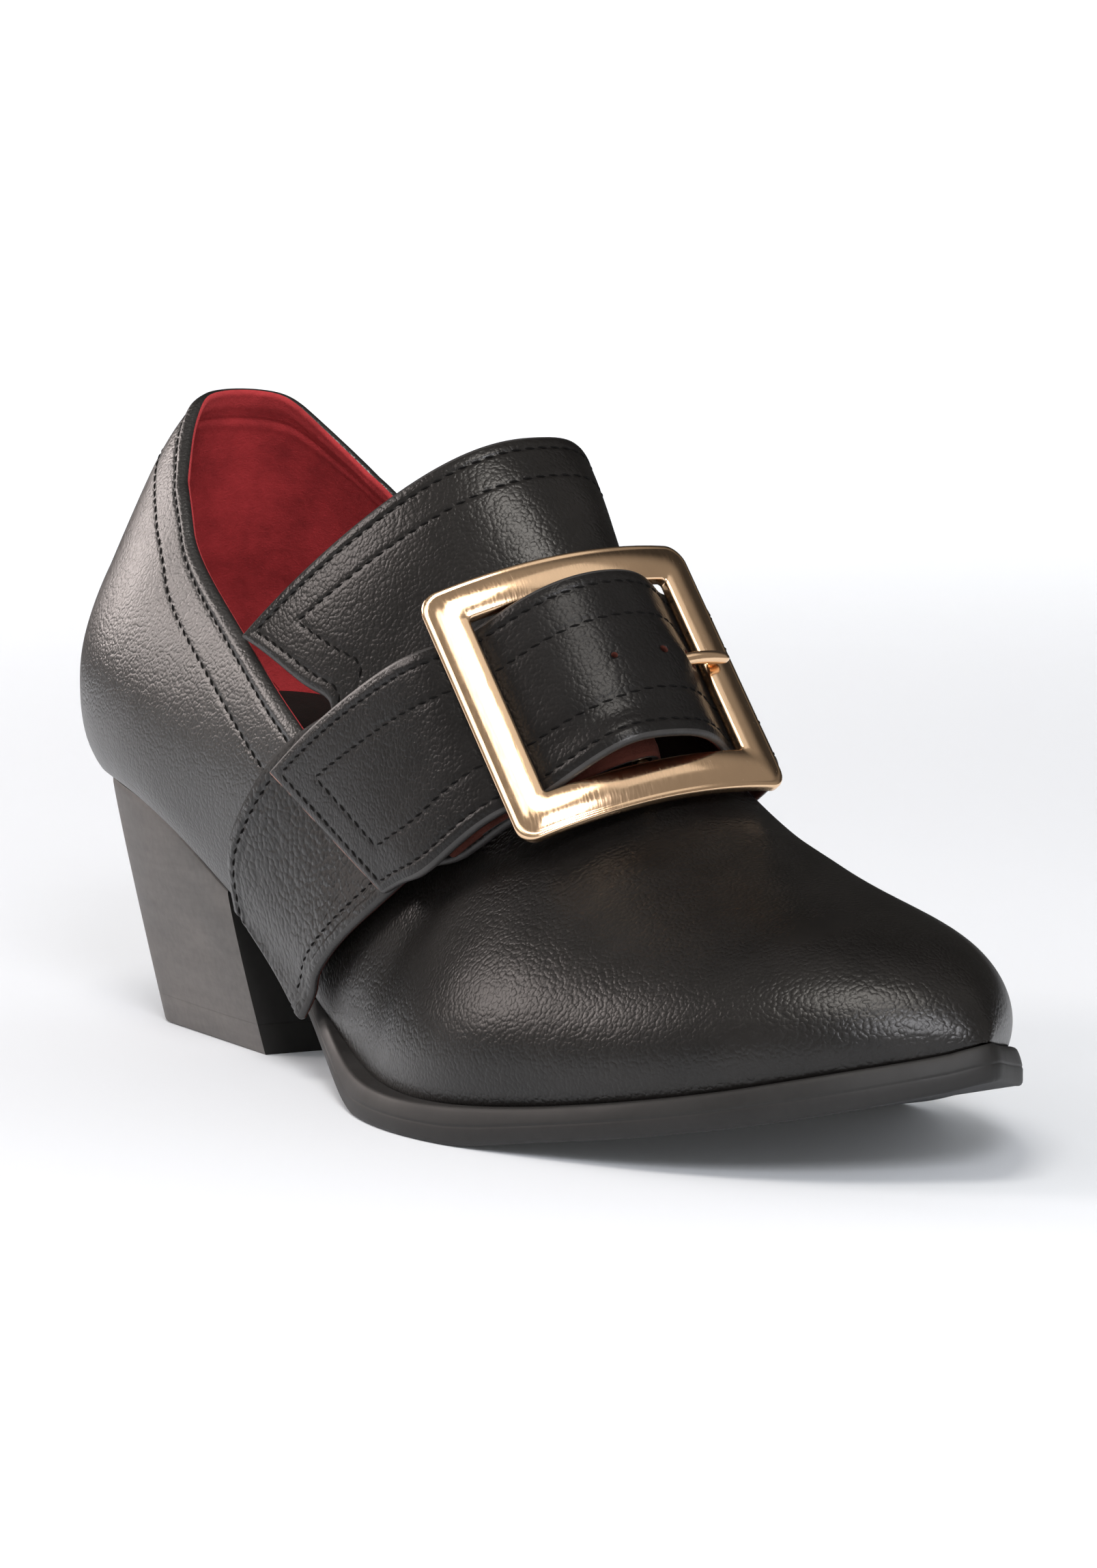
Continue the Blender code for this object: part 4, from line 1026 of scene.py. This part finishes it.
def heel_point(k, side, w):
    """k runs from the back (0) to the breast (1), w from the seat (0) down to the floor (1)."""
    x = unturn(k * turn(BREAST - 0.6))
    f, n = feather(x, side), plan_normal(k * turn(BREAST - 0.6), side)
    top = f[:2] + 0.1 * n
    t = (x - X_BACK) / (BREAST - 0.6 - X_BACK)
    xb = 10.5 + (BREAST + 1.4 - 10.5) * t
    wide = half(BREAST - 0.6, side) * (0.785 if side < 0 else 0.81) * (0.74 + 0.26 * t)
    wide = wide * np.sqrt(1 - (1 - min(t / 0.24, 1.0)) ** 2)
    bottom = np.array([xb, side * wide])
    p = top + (bottom - top) * (w ** 1.12)
    return p, f[2] - GAP


def heel_ring(level):
    return [level(k, side) for side, ks in ((-1, heel_k[::-1]), (1, heel_k[1:])) for k in ks]


def drum(name, rings, mats, nodes, sharp=35):
    """Stack of rings with flat ends; the face between the last and first point of a ring has the second material, which
    on heel and lift is the breast's painted shade.
    """
    n = len(rings[0])
    f, _, j = quads(len(rings), n, False, True)
    index = [len(mats) - 1 if k == n - 1 else 0 for k in j]
    f = [tuple(q) for q in f]
    for base in (0, (len(rings) - 1) * n):
        for i in range(n // 2):
            q = list(dict.fromkeys([base + i, base + i + 1, base + n - 2 - i, base + n - 1 - i]))
            if len(q) > 2:
                f.append(tuple(q))
                index.append(0)
    return piece(name, rings, f, mats, index, nodes, sharp=sharp)


def block(k, side, f, inset=0.0):
    p, top = heel_point(k, side, 0.0)
    z = top + (LIFT + GAP - top) * f
    p, _ = heel_point(k, side, (top - z) / top)
    c = np.array([40.0, 0.0])
    p = p + (c - p) / np.linalg.norm(c - p) * inset
    return (p[0], p[1], z)


def lift(k, side, z, inset):
    _, top = heel_point(k, side, 0.0)
    p, _ = heel_point(k, side, (top - z) / top)
    c = np.array([40.0, 0.0])
    p = p + (c - p) / np.linalg.norm(c - p) * inset
    return (p[0], p[1], z)


levels = [(0.0, 0.35), (0.012, 0.08)] + [(f, 0.0) for f in np.linspace(0.03, 1.0, 25)]
# the breast face of heel and lift takes the near-black painted shade
drum("heel_block", [heel_ring(lambda k, s, f=f, i=i: block(k, s, f, i)) for f, i in levels], [STACK, BREAST_PAINTED_SHADE], ("heel",))
levels = [(LIFT + GAP - 0.03, 0.04), (LIFT, 0.0), (2.5, 0.0), (0.6, 0.0), (0.2, 0.12), (0.0, 0.45)]
drum("top_lift", [heel_ring(lambda k, s, z=z, i=i: lift(k, s, z, i)) for z, i in levels], [STACK, BREAST_PAINTED_SHADE],
     ("heel_lift",))

k_u = np.concatenate([np.linspace(0.035, 0.2, 20), np.linspace(0.21, 0.90, 90), np.linspace(0.905, 0.93, 6)])


def insole_point(k, side, out, up):
    x = unturn(k)
    f, n = feather(x, side), plan_normal(k, side)
    pad = 2.8 + 3.4 * (1 - step(x, 40, 110)) + 5.4 * (1 - step(x, 8, 52))
    z = f[2] + 2 * GAP + (pad - 2 * GAP) * up
    e = -(WALL + 1.0) + out
    return (f[0] + n[0] * e, f[1] + n[1] * e, z)


rings = []
for o, up, crown in ((1.9, 0.0, 0.0), (1.9, 0.10, 0.0), (0.1, 0.16, 0.0), (0.3, 0.5, 0.0), (0.35, 0.85, 0.0), (0.1, 0.97, 0.0), (-0.4, 1.0, 0.15), (-1.5, 1.0, 0.3),
                     (-4.0, 1.0, 0.45), (-8.0, 1.0, 0.5)):
    r = [insole_point(k, -1, o, up) for k in k_u] + [insole_point(k, 1, o, up) for k in k_u[::-1]]
    rings.append([(p[0], p[1], p[2] + crown) for p in r])
drum("insole_sock", rings, [SEAT], ("insole",), sharp=60)

# ---------------------------------------------------------------- floor, light, camera


def row_frame(p):
    return Vector(((np.asarray(p, float) - ORIGIN) * MM).tolist())


AZ, EL = math.radians(59.5), math.radians(6.2)
BACK = np.array([math.sin(AZ) * math.cos(EL), -math.cos(AZ) * math.cos(EL), math.sin(EL)])
RIGHT = np.array([math.cos(AZ), math.sin(AZ), 0.0])
UP = np.array([-math.sin(AZ) * math.sin(EL), math.cos(AZ) * math.sin(EL), math.cos(EL)])
TARGET, FAR, SCALE = np.array([115.0, 0, 45.0]), 1150.0, 6.3    # point aimed at, distance, px per mm there
FRAME_W, FRAME_H = 1607, 2296
AIM = (569.5, 1262.0)               # middle of the shoe in the photograph's frame
ENLARGE = 1.40

# floor and backdrop glow: emission, painted light, rises from 0.03 beside the shoe to 0.56 far off, on a pale paper
# colour
m, t, b = shader("glowing_floor_paper", (0.745, 0.77, 0.80), 0.75, Specular_IOR_Level=0.2)
m.cycles.emission_sampling = "NONE"
b.inputs["Emission Color"].default_value = (1.0, 1.0, 1.0, 1)
place = node(t, "ShaderNodeTexCoord")
far = node(t, "ShaderNodeVectorMath", operation="LENGTH")
t.links.new(place.outputs["Object"], far.inputs[0])
away = node(t, "ShaderNodeMapRange", interpolation_type="SMOOTHSTEP", From_Min=0.35, From_Max=2.0, To_Min=0.03, To_Max=0.56)
t.links.new(far.outputs["Value"], away.inputs["Value"])
t.links.new(away.outputs["Result"], b.inputs["Emission Strength"])
grain = noise(t, coords(t), 900.0, 3.0)
height(t, b, grain, 0.0001, 0.1)


def stage_ring(name, rad, hgt, centre):
    """Round sheet from radii and heights."""
    ang = np.linspace(0, 2 * np.pi, 96, endpoint=False)
    pts = np.stack([rad[:, None] * np.cos(ang), rad[:, None] * np.sin(ang), np.repeat(hgt[:, None], 96, 1)], -1)
    f, _, _ = quads(len(rad), 96, False, True)
    mesh = bpy.data.meshes.new(name)
    mesh.from_pydata(pts.reshape(-1, 3).tolist(), [], [list(map(int, q)) for q in f] + ([list(range(96))] if centre else []))
    for p in mesh.polygons:
        p.use_smooth = True
    mesh.materials.append(m)
    ob = bpy.data.objects.new(name, mesh)
    bpy.context.scene.collection.objects.link(ob)
    return ob


stage_ring("floor", np.linspace(0.02, 0.9, 10), np.zeros(10), True)
_a = np.linspace(0, np.pi / 2, 26)
backdrop = stage_ring("backdrop", np.concatenate([np.linspace(0.9, 2.2, 8), 2.2 + 1.8 * np.sin(_a[1:]), [4.0]]),
                      np.concatenate([np.zeros(8), 1.8 * (1 - np.cos(_a[1:])), [3.6]]), False)
backdrop.visible_glossy = False


def softbox(name, az, el, dist, size, power, colour=(1, 1, 1), spread=180.0):
    """Rectangular lamp aimed at the shoe from an azimuth and elevation given as for the camera."""
    a, e = math.radians(az), math.radians(el)
    back = Vector((math.sin(a) * math.cos(e), -math.cos(a) * math.cos(e), math.sin(e)))
    d = bpy.data.lights.new(name, "AREA")
    d.shape, d.size, d.size_y, d.energy, d.color = "RECTANGLE", size[0], size[1], power, colour
    d.spread = math.radians(spread)
    o = bpy.data.objects.new(name, d)
    o.location = row_frame((125, 0, 40)) + back * dist
    o.rotation_mode = "QUATERNION"
    o.rotation_quaternion = back.to_track_quat("Z", "Y")
    bpy.context.scene.collection.objects.link(o)
    return o


WARM = (1.0, 0.89, 0.85)
key = softbox("key_left", -43, 27, 1.6, (0.55, 0.55), 7.4, WARM)
rear = softbox("rear_left", -76, 17, 1.6, (0.5, 0.45), 5.0, WARM)
toe_high = softbox("toe_high", 40, 61, 1.6, (0.60, 0.55), 10.0, (1.0, 0.95, 0.89))
toe_front = softbox("toe_front", 66, 28, 1.7, (0.40, 0.40), 13.5, (0.96, 0.96, 1.0))
metal_top = softbox("metal_top", 112, 66, 1.6, (0.9, 0.9), 1.3)
metal_left = softbox("metal_left", 12, 43, 1.6, (0.50, 0.50), 1.9)
strap_soft = softbox("strap_soft", -50, 24, 1.6, (1.5, 1.2), 5.0, WARM)


def flag(name, lamps, keep):
    """Lamps that reach only some of the pieces, as with flags and snoots in a studio."""
    lit = bpy.data.collections.new(name)
    for o in bpy.context.scene.objects:
        if o.type == "MESH" and keep(o):
            lit.objects.link(o)
    for lamp in lamps:
        lamp.light_linking.receiver_collection = lit


flag("lit_from_behind", [rear], lambda o: o not in (vamp, tongue_rows, lateral))
flag("lit_from_front", [key, toe_high, toe_front], lambda o: o is not lateral)
flag("lit_strap", [strap_soft], lambda o: o is lateral)
flag("lit_metal", [metal_top, metal_left], lambda o: GOLD.name in o.data.materials)

# even sky, darker towards the far side of the shoe: direction of the dark part as for the camera
DARK_AZ, DARK_EL, DARK, SKY = math.radians(-130), math.radians(8), 0.04, 0.28
world = bpy.data.worlds.new("studio")
world.use_nodes = True
wt = world.node_tree
bg = wt.nodes["Background"]
bg.inputs["Color"].default_value = (1.0, 0.95, 0.90, 1)
aim = node(wt, "ShaderNodeTexCoord")
dot = node(wt, "ShaderNodeVectorMath", operation="DOT_PRODUCT")
dot.inputs[1].default_value = (math.sin(DARK_AZ) * math.cos(DARK_EL), -math.cos(DARK_AZ) * math.cos(DARK_EL), math.sin(DARK_EL))
wt.links.new(aim.outputs["Generated"], dot.inputs[0])
shade = node(wt, "ShaderNodeMapRange", interpolation_type="SMOOTHSTEP", From_Min=0.35, From_Max=0.72, To_Min=SKY, To_Max=DARK)
wt.links.new(dot.outputs["Value"], shade.inputs["Value"])
wt.links.new(shade.outputs["Result"], bg.inputs["Strength"])
bpy.context.scene.world = world

cam_data = bpy.data.cameras.new("camera")
cam_data.sensor_width = 36.0
cam = bpy.data.objects.new("camera", cam_data)
eye = TARGET + FAR * BACK
px = (AIM[0] - 537.5) / SCALE, (AIM[1] - 1291.5) / SCALE
look = unit(TARGET + RIGHT * px[0] - UP * px[1] - eye)
cam_data.lens = SCALE * FAR * 36 / FRAME_H * ENLARGE
cam.location = row_frame(eye)
side_axis = unit(np.cross(look, np.array([0, 0, 1.0])))
up_axis = np.cross(side_axis, look)
cam.rotation_mode = "QUATERNION"
cam.rotation_quaternion = Matrix((side_axis, up_axis, -look)).transposed().to_quaternion()
cam_data.clip_start, cam_data.clip_end = 0.02, 30.0
bpy.context.scene.collection.objects.link(cam)
bpy.context.scene.camera = cam

bpy.context.scene.view_settings.view_transform = "Standard"
